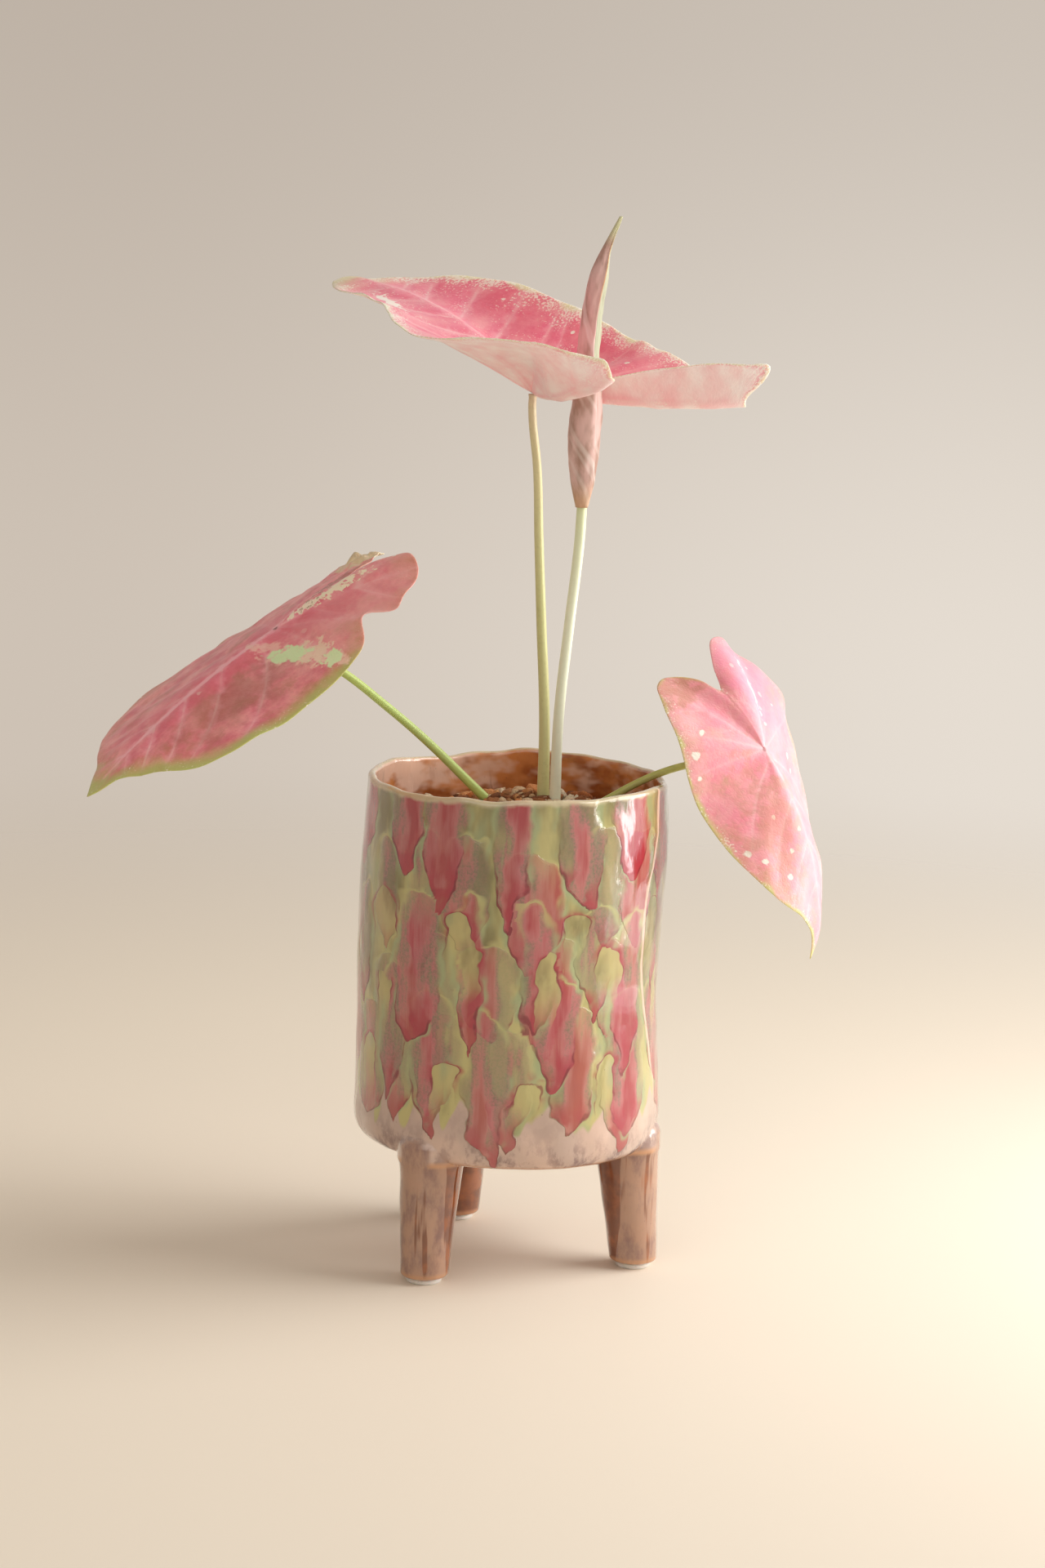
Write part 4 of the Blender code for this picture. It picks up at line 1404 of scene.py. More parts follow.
@dataclass
class OpenBlade:
    """An open leaf blade: a closed sheet with sunken veins above and raised ones below.

    Attributes:
        leaf: The shape of its sheet.
        veins: Its veins.
        seed: Starts the draw of its small differences.
        rings: Rings of points from the stalk's place out to the margin.
        columns: Points in a ring.
        thick: Thickness in the middle.
        margin_thick: Thickness at the margin.
        puff: How far it stands up between the veins.
        wave: Height of the slow waves at its margin.
        groove: How deep the strongest vein lies on the upper side.
        rib: How far it stands out below.
        lifted: Withered places that stand up: (forward, left, reach, rise).
        pulled: Places drawn aside: (forward, left, reach, (x, y, z) of the pull).
    """

    leaf: Leaf
    veins: Veins
    seed: int
    rings: int = 62
    columns: int = 300
    thick: float = 0.8
    margin_thick: float = 0.36
    puff: float = 0.42
    wave: float = 0.5
    groove: float = 0.12
    rib: float = 0.42
    lifted: tuple = ()
    pulled: tuple = ()

    def skin(self) -> Skin:
        """The blade's skin: the upper surface, the lower one, and a rounded margin.

        Both surfaces are the leaf's own sheet moved along its normal by half the
        thickness, by a puff between the veins, by slow waves at the margin, and
        by the lifted places.
        """
        columns = self.columns
        half = read(RAYS, np.linspace(0, 1, columns // 2 + 1))
        directions = np.concatenate([-half[:0:-1], half[:-1]])
        shares = np.linspace(0, 1, self.rings + 1)[1:] ** 0.92
        share, direction = np.repeat(shares, columns), np.tile(directions, self.rings)
        middle = self.leaf.points(share, direction)
        flat = self.leaf.flat(share, direction)
        for *place, reach, pull in self.pulled:
            middle = middle + close_to(place, flat, reach)[:, None] * np.array(pull)
        normal = self.normals(middle.reshape(self.rings, columns, 3)).reshape(-1, 3)
        long = self.leaf.length
        veins = self.veins.nearest(flat / long, self.seed)
        veins[:, :2] *= long
        edge = (1 - share) * self.leaf.reach(direction) * long
        puff = self.puff * (1 - np.exp(-(veins[:, 1] / 3.2) ** 2)) * ease(0, 9, edge)
        wave = self.wave * ripple(flat, 19.0, self.seed + 5) * share**3
        for *place, reach, rise in self.lifted:
            uneven = 1 + 0.45 * ripple(flat, 6.0, self.seed + 9)
            wave += rise * close_to(place, flat, reach) * uneven * share
        body = middle + normal * (puff + wave - 0.5 * self.puff * ease(0, 9, edge))[:, None]
        half_thick = 0.5 * (self.margin_thick + (self.thick - self.margin_thick) * (1 - share**2))
        groove = self.groove * veins[:, 2] * np.exp(-(veins[:, 1] / 0.7) ** 2)
        rib = self.rib * veins[:, 2] * np.exp(-(veins[:, 1] / 0.8) ** 2) * ease(0, 0.15, share)
        upper = body + normal * (half_thick - groove)[:, None]
        lower = body - normal * (half_thick + rib)[:, None]
        rim = body[-columns:] + self.outward(body, columns) * 0.16
        way, _ = self.leaf.facing()
        navel = np.array(self.leaf.stalk_point)
        points = np.concatenate([upper, lower, rim, [navel + way * 0.2], [navel - way * 0.5]])
        return Skin(points, self.faces(), self.paint(flat, edge, veins))

    @staticmethod
    def normals(grid: Array) -> Array:
        """The upper side's way at each grid point, square to the rays and the rings.

        Args:
            grid: Points by ring and column.

        Returns:
            A unit vector for each.
        """
        outward = np.gradient(grid, axis=0)
        onward = np.roll(grid, -1, axis=1) - np.roll(grid, 1, axis=1)
        way = np.cross(outward, onward)
        way /= np.linalg.norm(way, axis=-1, keepdims=True)
        return way

    @staticmethod
    def outward(body: Array, columns: int) -> Array:
        """The way out of the blade at each margin point."""
        way = body[-columns:] - body[-2 * columns:-columns]
        return way / np.linalg.norm(way, axis=1)[:, None]

    def faces(self) -> list[Array]:
        """Faces over both surfaces and round the margin."""
        rings, columns = self.rings, self.columns
        count = rings * columns
        ring = np.arange(columns)
        rim = 2 * count
        upper = grid_faces(rings, columns)[:, ::-1]
        lower = grid_faces(rings, columns, count)
        last = ring + count - columns
        after = np.roll(ring, -1)
        above = np.stack([last, rim + ring, rim + after, last[after]], -1)
        below = np.stack([rim + ring, last + count, (last + count)[after], rim + after], -1)
        navel = rim + columns
        return [upper, lower, above, below, fan_faces(navel, ring),
                fan_faces(navel + 1, ring + count, turned=True)]

    def paint(self, flat: Array, edge: Array, veins: Array) -> dict[str, Array]:
        """What the finish reads, for the upper points, the lower ones, the margin and the poles.

        Args:
            flat: Places on the flat blade.
            edge: Distances from the margin.
            veins: How the points lie to their nearest veins.

        Returns:
            Flat place with the side, distance from the margin, and the veins, by name.
        """
        columns, ones = self.columns, np.ones(len(flat))
        both = np.concatenate([flat, flat, flat[-columns:], np.zeros((2, 2))])
        side = np.concatenate([ones, -ones, np.zeros(columns), (1.0, -1.0)])
        return {
            "flat": np.column_stack([both, side]),
            "edge": np.concatenate([edge, edge, np.zeros(columns), (30.0, 30.0)]),
            "veins": np.concatenate([veins, veins, veins[-columns:], [(0, 0, 1), (0, 0, 1)]])}


# The rolled leaf.

@dataclass
class RolledBlade:
    """The leaf that is still rolled: one sheet wound on itself along a bent spindle.

    At turn a the sheet's radius is the spindle's, less half a lap, plus a lap
    for each full turn; its free edge is the end of the last turn.
    """

    route: tuple = (((18.9, -10.0, 273), 2.1), ((19.0, -11.4, 284), 4.3),
                    ((18.9, -13.0, 297), 5.5), ((19.5, -14.8, 311), 5.0),
                    ((19.3, -16.8, 327), 3.6), ((20.4, -19.0, 343), 3.3),
                    ((21.9, -20.3, 353), 3.1), ((23.8, -21.4, 362), 1.7),
                    ((28.5, -23.0, 374), 0.5))
    lap: float = 0.9
    thick: float = 0.5
    turns: float = 1.75
    edge: tuple = ((273, -40), (290, -48), (310, -58), (330, -68), (350, -64), (362, -52),
                   (374, -30))
    rows: int = 120
    columns: int = 120

    def skin(self) -> Skin:
        """The wound sheet: its outer face, its inner face, and strips that close it."""
        knots = np.array([point for point, _ in self.route], float)
        girth = np.array([radius for _, radius in self.route], float)
        heights = knots[:, 2]
        rows = np.linspace(0, 1, self.rows) ** 0.95 * (heights[-1] - heights[0]) + heights[0]
        slopes = np.gradient(knots, heights, axis=0)
        middle = np.stack([hermite(rows, heights, knots[:, axis], slopes[:, axis])
                           for axis in range(3)], -1)
        radius = hermite(rows, heights, girth, np.gradient(girth, heights))[:, None]
        small = np.minimum(1.0, radius / 3.0)
        turn = np.linspace(1 - self.turns, 1, self.columns)[None]
        angle = np.radians(read(self.edge, rows))[:, None] + 2 * pi * turn
        wound = radius - 0.5 * self.lap * small + self.lap * small * turn
        place = polar(angle, 9.0, rows[:, None])
        wound = wound + 0.22 * small * ripple(place, 13.0, 71)
        wound = wound + 0.10 * small * ripple(place, 5.0, 72)
        wound = wound + 0.55 * small * ease(0.955, 1.0, turn) * ease(318, 345, rows)[:, None]
        half = 0.5 * self.thick * small * (1 - 0.6 * ease(0.97, 1.0, turn))
        out = polar(angle, 1.0, 0.0)
        outer = middle[:, None] + out * np.maximum(wound + half, 0.12)[..., None]
        inner = middle[:, None] + out * np.maximum(wound - half, 0.05)[..., None]
        paint = np.stack(np.broadcast_arrays(turn, rows[:, None], 1.0), -1).reshape(-1, 3)
        backs = paint * (1.0, 1.0, -1.0)
        return Skin(np.concatenate([outer.reshape(-1, 3), inner.reshape(-1, 3)]), self.faces(),
                    {"rolled": np.concatenate([paint, backs])})

    def faces(self) -> list[Array]:
        """Faces over both sides of the sheet and along its four edges."""
        rows, columns = self.rows, self.columns
        count = rows * columns
        index = np.arange(count).reshape(rows, columns)
        outer = grid_faces(rows, columns, wrap=False)
        inner = grid_faces(rows, columns, count, wrap=False)[:, ::-1]
        strips = []
        for line, turned in ((index[0], True), (index[-1], False), (index[:, 0], False),
                             (index[:, -1], True)):
            strip = np.stack([line[:-1], line[1:], line[1:] + count, line[:-1] + count], -1)
            strips.append(strip[:, ::-1] if turned else strip)
        return [outer, inner, *strips]


# Finishes.

@dataclass(frozen=True)
class PotGlaze:
    """The pot's glaze: brushed pink dabs over yellow-green, beige below, caramel inside."""

    lime: tuple = srgb(190, 180, 118)
    moss: tuple = srgb(128, 118, 72)
    mint: tuple = srgb(158, 168, 122)
    sage: tuple = srgb(112, 104, 86)
    dusty: tuple = srgb(142, 110, 98)
    rose: tuple = srgb(190, 106, 110)
    crimson: tuple = srgb(168, 30, 56)
    pooled: tuple = srgb(124, 20, 38)
    beige: tuple = srgb(192, 166, 152)
    smudge: tuple = srgb(112, 82, 84)
    tan: tuple = srgb(206, 152, 108)
    caramel: tuple = srgb(212, 138, 80)
    toffee: tuple = srgb(158, 88, 44)
    umber: tuple = srgb(116, 62, 34)
    veil: tuple = srgb(238, 202, 180)
    clay: tuple = srgb(182, 144, 120)
    cream: tuple = srgb(208, 192, 156)

    def material(self) -> bpy.types.Material:
        """The material of the fired piece."""
        graph = Graph("glaze_brushed")
        here = graph.places()
        _, _, height = graph.parts(here)
        ground = self.ground(graph, here, height)
        colour, wet = ground, None
        for name, strength in (("coat_low", 0.9), ("coat_middle", 0.95), ("coat_high", 0.95)):
            colour, covered = self.coat(graph, name, colour, here, strength, wet)
            wet = covered if wet is None else graph.larger(wet, covered)
        colour = self.gaps(graph, colour, here, ground)
        bare, low = self.bare(graph, here, height)
        low = graph.times(low, graph.invert(graph.times(wet, 0.92)))
        colour = graph.mix(low, colour, bare)
        colour = self.seam(graph, colour, here)
        colour = graph.mix(graph.attribute("leg"), colour, self.legs(graph, here))
        colour = graph.mix(graph.attribute("inside"), colour, self.inside(graph, here))
        colour = self.lip(graph, colour, here)
        pits = graph.climb(graph.cells(here, 2.6), 0.10, 0.05)
        gate = graph.climb(graph.noise(here, 9.0), 0.52, 0.62)
        colour = graph.cover(colour, self.smudge, pits, gate, 0.5)
        peel = graph.noise(here, 4.2, 2.0, upright=0.45)
        normal = graph.bump(graph.noise(here, 17.0, 1.0), 1.0)
        normal = graph.bump(peel, 0.16, normal)
        normal = graph.bump(wet, 0.28, normal)
        rough = graph.climb(graph.noise(here, 8.0, 3.0), 0.3, 0.7, 0.06, 0.13)
        return graph.finish(colour, rough, normal, Specular_IOR_Level=0.55, IOR=1.5,
                            Coat_Weight=0.7, Coat_Roughness=0.04)

    def ground(self, graph: Graph, here: Socket, height: Socket) -> Socket:
        """The yellow-green ground, mossier in patches and mintier where it runs thick.

        Args:
            graph: The material's graph.
            here: The point's place in millimetres.
            height: Height of the point.

        Returns:
            The ground's colour.
        """
        patch = graph.noise(here, 12.0, 3.0, upright=0.35)
        murk = graph.climb(height, 90.0, 165.0, -0.10, 0.10)
        colour = graph.mix(graph.climb(graph.plus(patch, murk), 0.40, 0.66), self.lime, self.moss)
        mint = graph.noise(here, 11.0, 1.0, upright=0.5, shift=(40, 0, 0))
        return graph.mix(graph.climb(mint, 0.50, 0.70, 0.0, 0.7), colour, self.mint)

    def coat(self, graph: Graph, name: str, under: Socket, here: Socket, strength: float,
             wet: Socket | None) -> tuple[Socket, Socket]:
        """Brush one coat of dabs over what is there.

        A dab is a translucent dusty veil with a rosy core. It fades out at its
        top and sides, and ends below in a crisp pooled edge.

        Args:
            graph: The graph.
            name: The coat's painted attribute.
            under: The colour below.
            here: The place.
            strength: How well the coat covers.
            wet: Where an earlier coat lies, which turns the overlap redder.

        Returns:
            The colour, and the share covered.
        """
        depth, tone, along = graph.parts(graph.attribute(name, "Color"))
        across = graph.attribute(name, "Alpha")
        fray = graph.noise(here, 3.8, 2.0, upright=0.6)
        frayed = graph.plus(depth, graph.sway(fray, 0.7))
        lower = graph.climb(along, 0.50, 0.76)
        soft = graph.climb(frayed, 0.9, -2.4)
        crisp = graph.climb(graph.plus(depth, graph.sway(fray, 0.3)), 0.35, -0.35)
        round_top = graph.times(graph.climb(frayed, 0.3, -0.9), graph.climb(along, 0.20, 0.02))
        soft = graph.larger(soft, graph.times(round_top, 0.8))
        covered = graph.plus(graph.times(soft, graph.invert(lower)), graph.times(crisp, lower))
        streaks = graph.noise(here, 3.0, 3.0, 0.6, upright=0.10, shift=(11, 0, 0))
        broad = graph.noise(here, 8.0, 2.0, upright=0.3)
        off = graph.unsigned(graph.minus(across, graph.climb(tone, 0.0, 1.0, -0.35, 0.35)))
        core = graph.plus(graph.times(graph.minus(broad, 0.5), 1.5),
                          graph.times(graph.minus(streaks, 0.5), 0.9),
                          graph.climb(off, 1.0, 0.0, -0.30, 0.22),
                          graph.climb(tone, 0.0, 1.0, -0.22, 0.30),
                          graph.climb(along, 0.3, 0.9, -0.05, 0.10))
        if wet is not None:
            core = graph.plus(core, graph.times(wet, 0.12))
        colour = graph.ramp(graph.plus(core, 0.38), (
            (0.24, self.dusty), (0.56, self.rose), (0.96, self.crimson)))
        speckle = graph.climb(graph.noise(here, 1.0, 3.0, 0.7), 0.44, 0.60, 0.0, 0.7)
        colour = graph.cover(colour, self.sage, speckle, graph.climb(core, 0.32, -0.05))
        thin = graph.climb(graph.plus(along, graph.times(streaks, 0.3)), 0.06, 0.50, 0.50, 0.10)
        thin = graph.larger(thin, graph.climb(core, 0.10, -0.25, 0.0, 0.55))
        colour = graph.mix(thin, colour, under)
        drop = graph.climb(graph.noise(here, 9.0), 0.38, 0.52)
        colour = graph.cover(colour, self.crimson, graph.climb(along, 0.70, 0.95), drop, 0.9)
        wide = graph.climb(along, 0.7, 1.0, -0.9, -2.0)
        pool = graph.times(graph.climb(graph.minus(depth, wide), 0.0, 0.7),
                           graph.climb(along, 0.55, 0.85))
        ragged = graph.climb(graph.noise(here, 5.0), 0.36, 0.58)
        colour = graph.cover(colour, self.pooled, pool, ragged, 0.9)
        glow = graph.times(graph.climb(depth, 3.2, 0.2), graph.climb(along, 1.4, 0.9))
        bright = graph.climb(graph.noise(here, 9.0, upright=0.5, shift=(5, 5, 5)), 0.45, 0.6)
        under = graph.cover(under, self.mint, glow, bright, 0.85)
        crown = graph.times(graph.climb(depth, 2.8, 0.6), graph.climb(along, 0.30, 0.02))
        under = graph.cover(under, self.lime, crown, 0.75)
        line = graph.times(graph.climb(graph.unsigned(depth), 0.42, 0.12),
                           graph.climb(along, 0.5, 0.8),
                           graph.climb(graph.noise(here, 7.0), 0.44, 0.56, 0.0, 0.45))
        made = graph.cover(under, colour, covered, strength)
        return graph.mix(line, made, self.pooled), covered

    def gaps(self, graph: Graph, colour: Socket, here: Socket, ground: Socket) -> Socket:
        """Arched gaps that the tongues leave: the ground shows, under a pooled crimson line.

        Args:
            graph: The material's graph.
            colour: The colour so far.
            here: The point's place in millimetres.
            ground: The ground's colour.

        Returns:
            The colour with this laid over it.
        """
        depth, tone, along = graph.parts(graph.attribute("gap", "Color"))
        fray = graph.noise(here, 3.8, 2.0, upright=0.6, shift=(0, 9, 0))
        shaky = graph.plus(depth, graph.sway(fray, 0.5))
        shown = graph.climb(tone, 0.16, 0.22)
        opened = graph.times(graph.climb(shaky, 0.2, -0.2), graph.climb(along, 1.0, 0.25))
        flush = graph.times(graph.climb(shaky, 3.2, 0.3), graph.climb(along, 0.6, 0.1),
                            graph.climb(graph.noise(here, 8.0), 0.38, 0.55, 0.1, 0.75))
        colour = graph.cover(colour, self.crimson, flush, shown)
        inner = graph.mix(graph.climb(fray, 0.45, 0.65, 0.0, 0.5), ground, self.lime)
        colour = graph.cover(colour, inner, opened, shown, 0.92)
        line = graph.climb(graph.unsigned(graph.minus(shaky, 0.2)), 0.55, 0.15)
        line = graph.times(line, shown, graph.climb(along, 0.75, 0.3),
                           graph.climb(graph.noise(here, 6.0), 0.40, 0.55, 0.15, 0.7))
        return graph.mix(line, colour, self.pooled)

    def bare(self, graph: Graph, here: Socket, height: Socket) -> tuple[Socket, Socket]:
        """The thin beige glaze at the foot with its smudges, and where it begins.

        Args:
            graph: The material's graph.
            here: The point's place in millimetres.
            height: Height of the point.

        Returns:
            Its colour, and the share of it.
        """
        scallop = graph.noise(here, 8.0, 1.0, upright=0.15)
        low = graph.climb(graph.plus(height, graph.sway(scallop, 10.0)), 65.0, 62.5)
        smear = graph.noise(here, 6.5, 5.0, 0.65, upright=0.6, shift=(9, 4, 0))
        lower = graph.climb(height, 60.0, 46.0, 0.15, 1.0)
        dark = graph.times(graph.climb(smear, 0.45, 0.60), lower)
        colour = graph.mix(graph.times(dark, 0.8), self.beige, self.smudge)
        rosy = graph.climb(graph.noise(here, 14.0), 0.4, 0.7, 0.0, 0.35)
        colour = graph.mix(rosy, colour, self.veil)
        return graph.mix(graph.climb(height, 46.5, 44.2), colour, self.tan), low

    def seam(self, graph: Graph, colour: Socket, here: Socket) -> Socket:
        """The seam: glaze drawn thin and pale over the edge, partly a painted highlight, and
        painted shade in the crease beside it.

        Args:
            graph: The material's graph.
            colour: The colour so far.
            here: The point's place in millimetres.

        Returns:
            The colour with this laid over it.
        """
        away, shown = graph.attribute("seam"), graph.attribute("seam_shown")
        shaky = graph.plus(away, graph.sway(graph.noise(here, 6.0), 0.25))
        # pale line on the slab's edge: the glaze drawn thin over it, and a painted highlight
        pale = graph.climb(graph.unsigned(graph.plus(shaky, 1.1)), 1.5, 0.5)
        # dark line in the crease beside the edge: painted shade
        dark = graph.climb(graph.unsigned(graph.minus(shaky, 0.9)), 1.2, 0.3)
        colour = graph.cover(colour, self.veil, pale, shown, 0.9)
        return graph.cover(colour, self.toffee, dark, shown, 0.8)

    def legs(self, graph: Graph, here: Socket) -> Socket:
        """Brown legs under runs of a beige coat, most of it on the right and in front.

        Args:
            graph: The material's graph.
            here: The point's place in millimetres.

        Returns:
            The legs' colour.
        """
        x, y, height = graph.parts(here)
        run = graph.noise(here, 6.0, 3.0, 0.55, upright=0.08, shift=(3, 8, 0))
        side = graph.climb(graph.unsigned(graph.plus(x, 12.0)), 9.0, 12.0, 0.10, -0.22)
        side = graph.larger(side, graph.climb(x, 57.5, 61.0, -0.25, 0.14))
        side = graph.plus(side, graph.climb(y, -20.0, 20.0, 0.0, -0.3))
        brown = graph.climb(graph.noise(here, 7.0, 3.0), 0.4, 0.7)
        colour = graph.mix(brown, self.umber, self.toffee)
        smear = graph.noise(here, 7.0, 4.0, 0.6, upright=0.5, shift=(2, 6, 0))
        coat = graph.mix(graph.climb(smear, 0.42, 0.68, 0.0, 0.7), self.clay, self.smudge)
        colour = graph.mix(graph.climb(graph.plus(run, side), 0.44, 0.50, 0.10, 0.88), colour, coat)
        return graph.mix(graph.climb(height, 5.0, 3.2, 0.0, 0.6), colour, self.tan)

    def inside(self, graph: Graph, here: Socket) -> Socket:
        """The glossy caramel inside with pale veils, and painted light: paler on the lit left wall,
        darker towards the soil.

        Args:
            graph: The material's graph.
            here: The point's place in millimetres.

        Returns:
            The inside's colour.
        """
        cloud = graph.noise(here, 13.0, 3.0, upright=1.6)
        colour = graph.mix(graph.climb(cloud, 0.38, 0.66), self.caramel, self.toffee)
        veil = graph.noise(here, 11.0, 2.0, 0.5, upright=1.8, shift=(20, 7, 3))
        x, _, height = graph.parts(here)
        # lit: painted light thickens the veils on the left inner wall, which the window lights, and
        # painted shade thins them below the rim
        lit = graph.plus(graph.climb(x, 20.0, -42.0, -0.03, 0.20),
                         graph.climb(height, 158.0, 173.0, -0.10, 0.0))
        share = graph.climb(graph.plus(veil, lit), 0.40, 0.64, 0.0, 0.85)
        return graph.mix(share, colour, self.veil)

    def lip(self, graph: Graph, colour: Socket, here: Socket) -> Socket:
        """The lip, where the glaze draws thin and pale.

        Args:
            graph: The material's graph.
            colour: The colour so far.
            here: The point's place in millimetres.

        Returns:
            The colour with this laid over it.
        """
        ragged = graph.sway(graph.noise(here, 5.0), 0.5)
        near = graph.climb(graph.plus(graph.attribute("lip"), ragged), 2.7, 1.1)
        return graph.cover(colour, self.cream, near, 0.85)


@dataclass(frozen=True)
class Patch:
    """A patch of another colour on a blade: a ragged oval about a flat place.

    Attributes:
        at: Its middle on the flat blade, in millimetres.
        reach: Its half length and half width.
        turn: Which way its length lies, in degrees from the blade's own.
        colour: Its colour.
        ragged: How far its outline strays, as a share of its size.
        grain: The size of the straying.
        share: How well it covers.
        soft: Width of its border, as a share of its size.
    """

    at: tuple[float, float]
    reach: tuple[float, float]
    turn: float
    colour: tuple
    ragged: float = 0.5
    grain: float = 3.0
    share: float = 1.0
    soft: float = 0.4

    def laid(self, graph: Graph, flat: Socket, colour: Socket) -> Socket:
        """Lay the patch over a colour.

        Args:
            graph: The material's graph.
            flat: The place on the flat blade.
            colour: The colour so far.

        Returns:
            The colour with this laid over it.
        """
        spun = graph.node("ShaderNodeMapping", {
            "Vector": flat, "Location": (*self.at, 0.0), "Rotation": (0.0, 0.0, radians(self.turn)),
            "Scale": (*self.reach, 1.0)}, vector_type="TEXTURE")
        far = graph.node("ShaderNodeVectorMath", {0: spun}, "Value", operation="LENGTH")
        stray = graph.climb(graph.noise(flat, self.grain, 3.0, 0.6), 0.25, 0.75,
                            -self.ragged, self.ragged)
        near = graph.climb(graph.plus(far, stray), 0.95 + self.soft / 2, 0.95 - self.soft / 2,
                           0.0, self.share)
        return graph.mix(near, colour, self.colour)


@dataclass(frozen=True)
class BladeFinish:
    """The finish of one open blade.

    Attributes:
        name: The material's name.
        pink: The blade's own colour, at its palest.
        deep: Its own colour, at its deepest.
        blush: The duller colour that clouds it.
        flush: What the blade flushes to beside its veins.
        vein: The veins' colour.
        margin: The margin's green.
        under: The paler underside.
        fleck: The pale flecks and spots.
        cloudiness: How much of the blade the duller colour takes, 0 to 1.
        vein_share: How well the veins show, 0 to 1.
        far_veins: What is left of that on the right half, 0 to 1.
        margin_width: Width of the green band at the margin.
        green_side: Which half the band keeps to: 1 left, -1 right, 0 both.
        green_from: How far forward the band begins.
        green_tip: Length of the green tip.
        flecks: How many fine flecks there are near the margin, 0 to 1.
        spots: Round pale spots: (forward, left, radius) in millimetres.
        patches: Patches laid over everything, in order.
    """

    name: str
    pink: tuple
    deep: tuple
    blush: tuple
    flush: tuple
    vein: tuple
    margin: tuple
    under: tuple
    fleck: tuple = srgb(248, 238, 224)
    cloudiness: float = 0.5
    vein_share: float = 1.0
    far_veins: float = 1.0
    margin_width: float = 2.2
    green_side: float = 0.0
    green_from: float = -200.0
    green_tip: float = 10.0
    flecks: float = 0.5
    spots: tuple = ()
    patches: tuple = ()

    def material(self, length: float) -> bpy.types.Material:
        """The blade's material.

        Args:
            length: The blade's length, which places its tip.

        Returns:
            The material.
        """
        graph = Graph(self.name)
        forward, left, side = graph.parts(graph.attribute("flat", "Vector"))
        flat = graph.joined(forward, left)
        edge = graph.attribute("edge")
        signed, away, strength = graph.parts(graph.attribute("veins", "Vector"))
        top = graph.climb(side, -0.2, 0.2)
        colour = self.body(graph, flat, edge)
        colour = self.veined(graph, flat, signed, away, strength, colour)
        colour = self.bordered(graph, forward, left, flat, edge, colour, length)
        colour = self.speckled(graph, flat, edge, colour)
        for patch in self.patches:
            colour = patch.laid(graph, flat, colour)
        middle = graph.node("ShaderNodeVectorMath", {0: flat}, "Value", operation="LENGTH")
        colour = graph.mix(graph.climb(middle, 4.5, 1.0, 0.0, 0.35), colour, self.vein)
        navel = graph.times(graph.climb(middle, 1.3, 0.5, 0.0, 0.75), top)
        colour = graph.mix(navel, colour, srgb(132, 58, 56))
        pale = graph.climb(graph.noise(flat, 9.0, 3.0), 0.3, 0.7, 0.6, 0.94)
        streak = graph.times(graph.climb(away, 2.4, 0.3), graph.climb(strength, 0.1, 0.8, 0.0, 0.5))
        pale = graph.times(pale, graph.invert(streak), graph.climb(edge, 0.5, 4.5, 0.15, 1.0))
        colour = graph.mix(top, graph.mix(pale, colour, self.under), colour)
        fine = graph.cells(flat, 1.5, feature="DISTANCE_TO_EDGE")
        normal = graph.bump(graph.climb(fine, 0.0, 0.25), 0.03)
        normal = graph.bump(graph.noise(flat, 5.0, 2.0), 0.22, normal)
        rough = graph.climb(graph.noise(flat, 6.0, 2.0), 0.3, 0.7, 0.36, 0.52)
        return graph.finish(colour, rough, normal, Specular_IOR_Level=0.4, Subsurface_Weight=0.75,
                            Subsurface_Radius=(1.0, 0.8, 0.75), Subsurface_Scale=0.0015,
                            Sheen_Weight=0.08, Sheen_Roughness=0.5)

    def body(self, graph: Graph, flat: Socket, edge: Socket) -> Socket:
        """The blade's own colour, mottled, and clouded by the duller one.

        Args:
            graph: The material's graph.
            flat: The place on the flat blade.
            edge: Distance from the margin.

        Returns:
            The colour.
        """
        fine = graph.noise(flat, 2.0, 4.0, 0.65)
        wide = graph.noise(flat, 14.0, 3.0, shift=(17, 5, 0))
        own = graph.plus(graph.times(fine, 0.30), graph.times(wide, 0.70))
        colour = graph.mix(graph.climb(own, 0.34, 0.64), self.pink, self.deep)
        cloud = graph.noise(flat, 13.0, 4.0, 0.6, shift=(31, 12, 0))
        dust = graph.noise(flat, 1.7, 3.0, 0.7, shift=(3, 2, 0))
        cloud = graph.plus(cloud, graph.sway(dust, 0.05))
        outward = graph.climb(edge, 16.0, 1.0, 0.0, 0.12)
        low, high = 0.64 - 0.34 * self.cloudiness, 0.98 - 0.34 * self.cloudiness
        share = graph.climb(graph.plus(cloud, outward), low, high, 0.0, 0.9)
        return graph.mix(share, colour, self.blush)

    def veined(self, graph: Graph, flat: Socket, signed: Socket, away: Socket, strength: Socket,
               colour: Socket) -> Socket:
        """Veins: a wide soft flush, and a narrower pale line that comes and goes.

        Args:
            graph: The material's graph.
            flat: The place on the flat blade.
            signed: Distance from the nearest vein, below 0 on its right.
            away: The same distance without its sign.
            strength: The vein's strength there.
            colour: The colour so far.

        Returns:
            The colour with this laid over it.
        """
        _, left, _ = graph.parts(flat)
        strength = graph.times(strength, graph.climb(left, -5.0, -1.0, self.far_veins, 1.0))
        shaky = graph.plus(away, graph.sway(graph.noise(flat, 4.0, 3.0), 1.4))
        colour = graph.cover(colour, self.flush, graph.climb(shaky, 7.5, 0.2),
                             graph.climb(strength, 0.05, 0.8, 0.1, 0.9), 0.6)
        colour = graph.cover(colour, self.vein, graph.climb(shaky, 2.8, 0.0),
                             graph.climb(strength, 0.05, 0.75, 0.08, 0.75), self.vein_share)
        line = graph.times(graph.climb(graph.unsigned(signed), 0.8, 0.1),
                           graph.climb(away, 3.0, 1.5))
        fades = graph.climb(graph.noise(flat, 7.0, 2.0), 0.35, 0.6, 0.25, 0.7)
        held = graph.climb(strength, 0.05, 0.7, 0.1 * self.vein_share, self.vein_share)
        pale = graph.mix(0.45, self.vein, self.fleck)
        return graph.cover(colour, pale, line, fades, held)

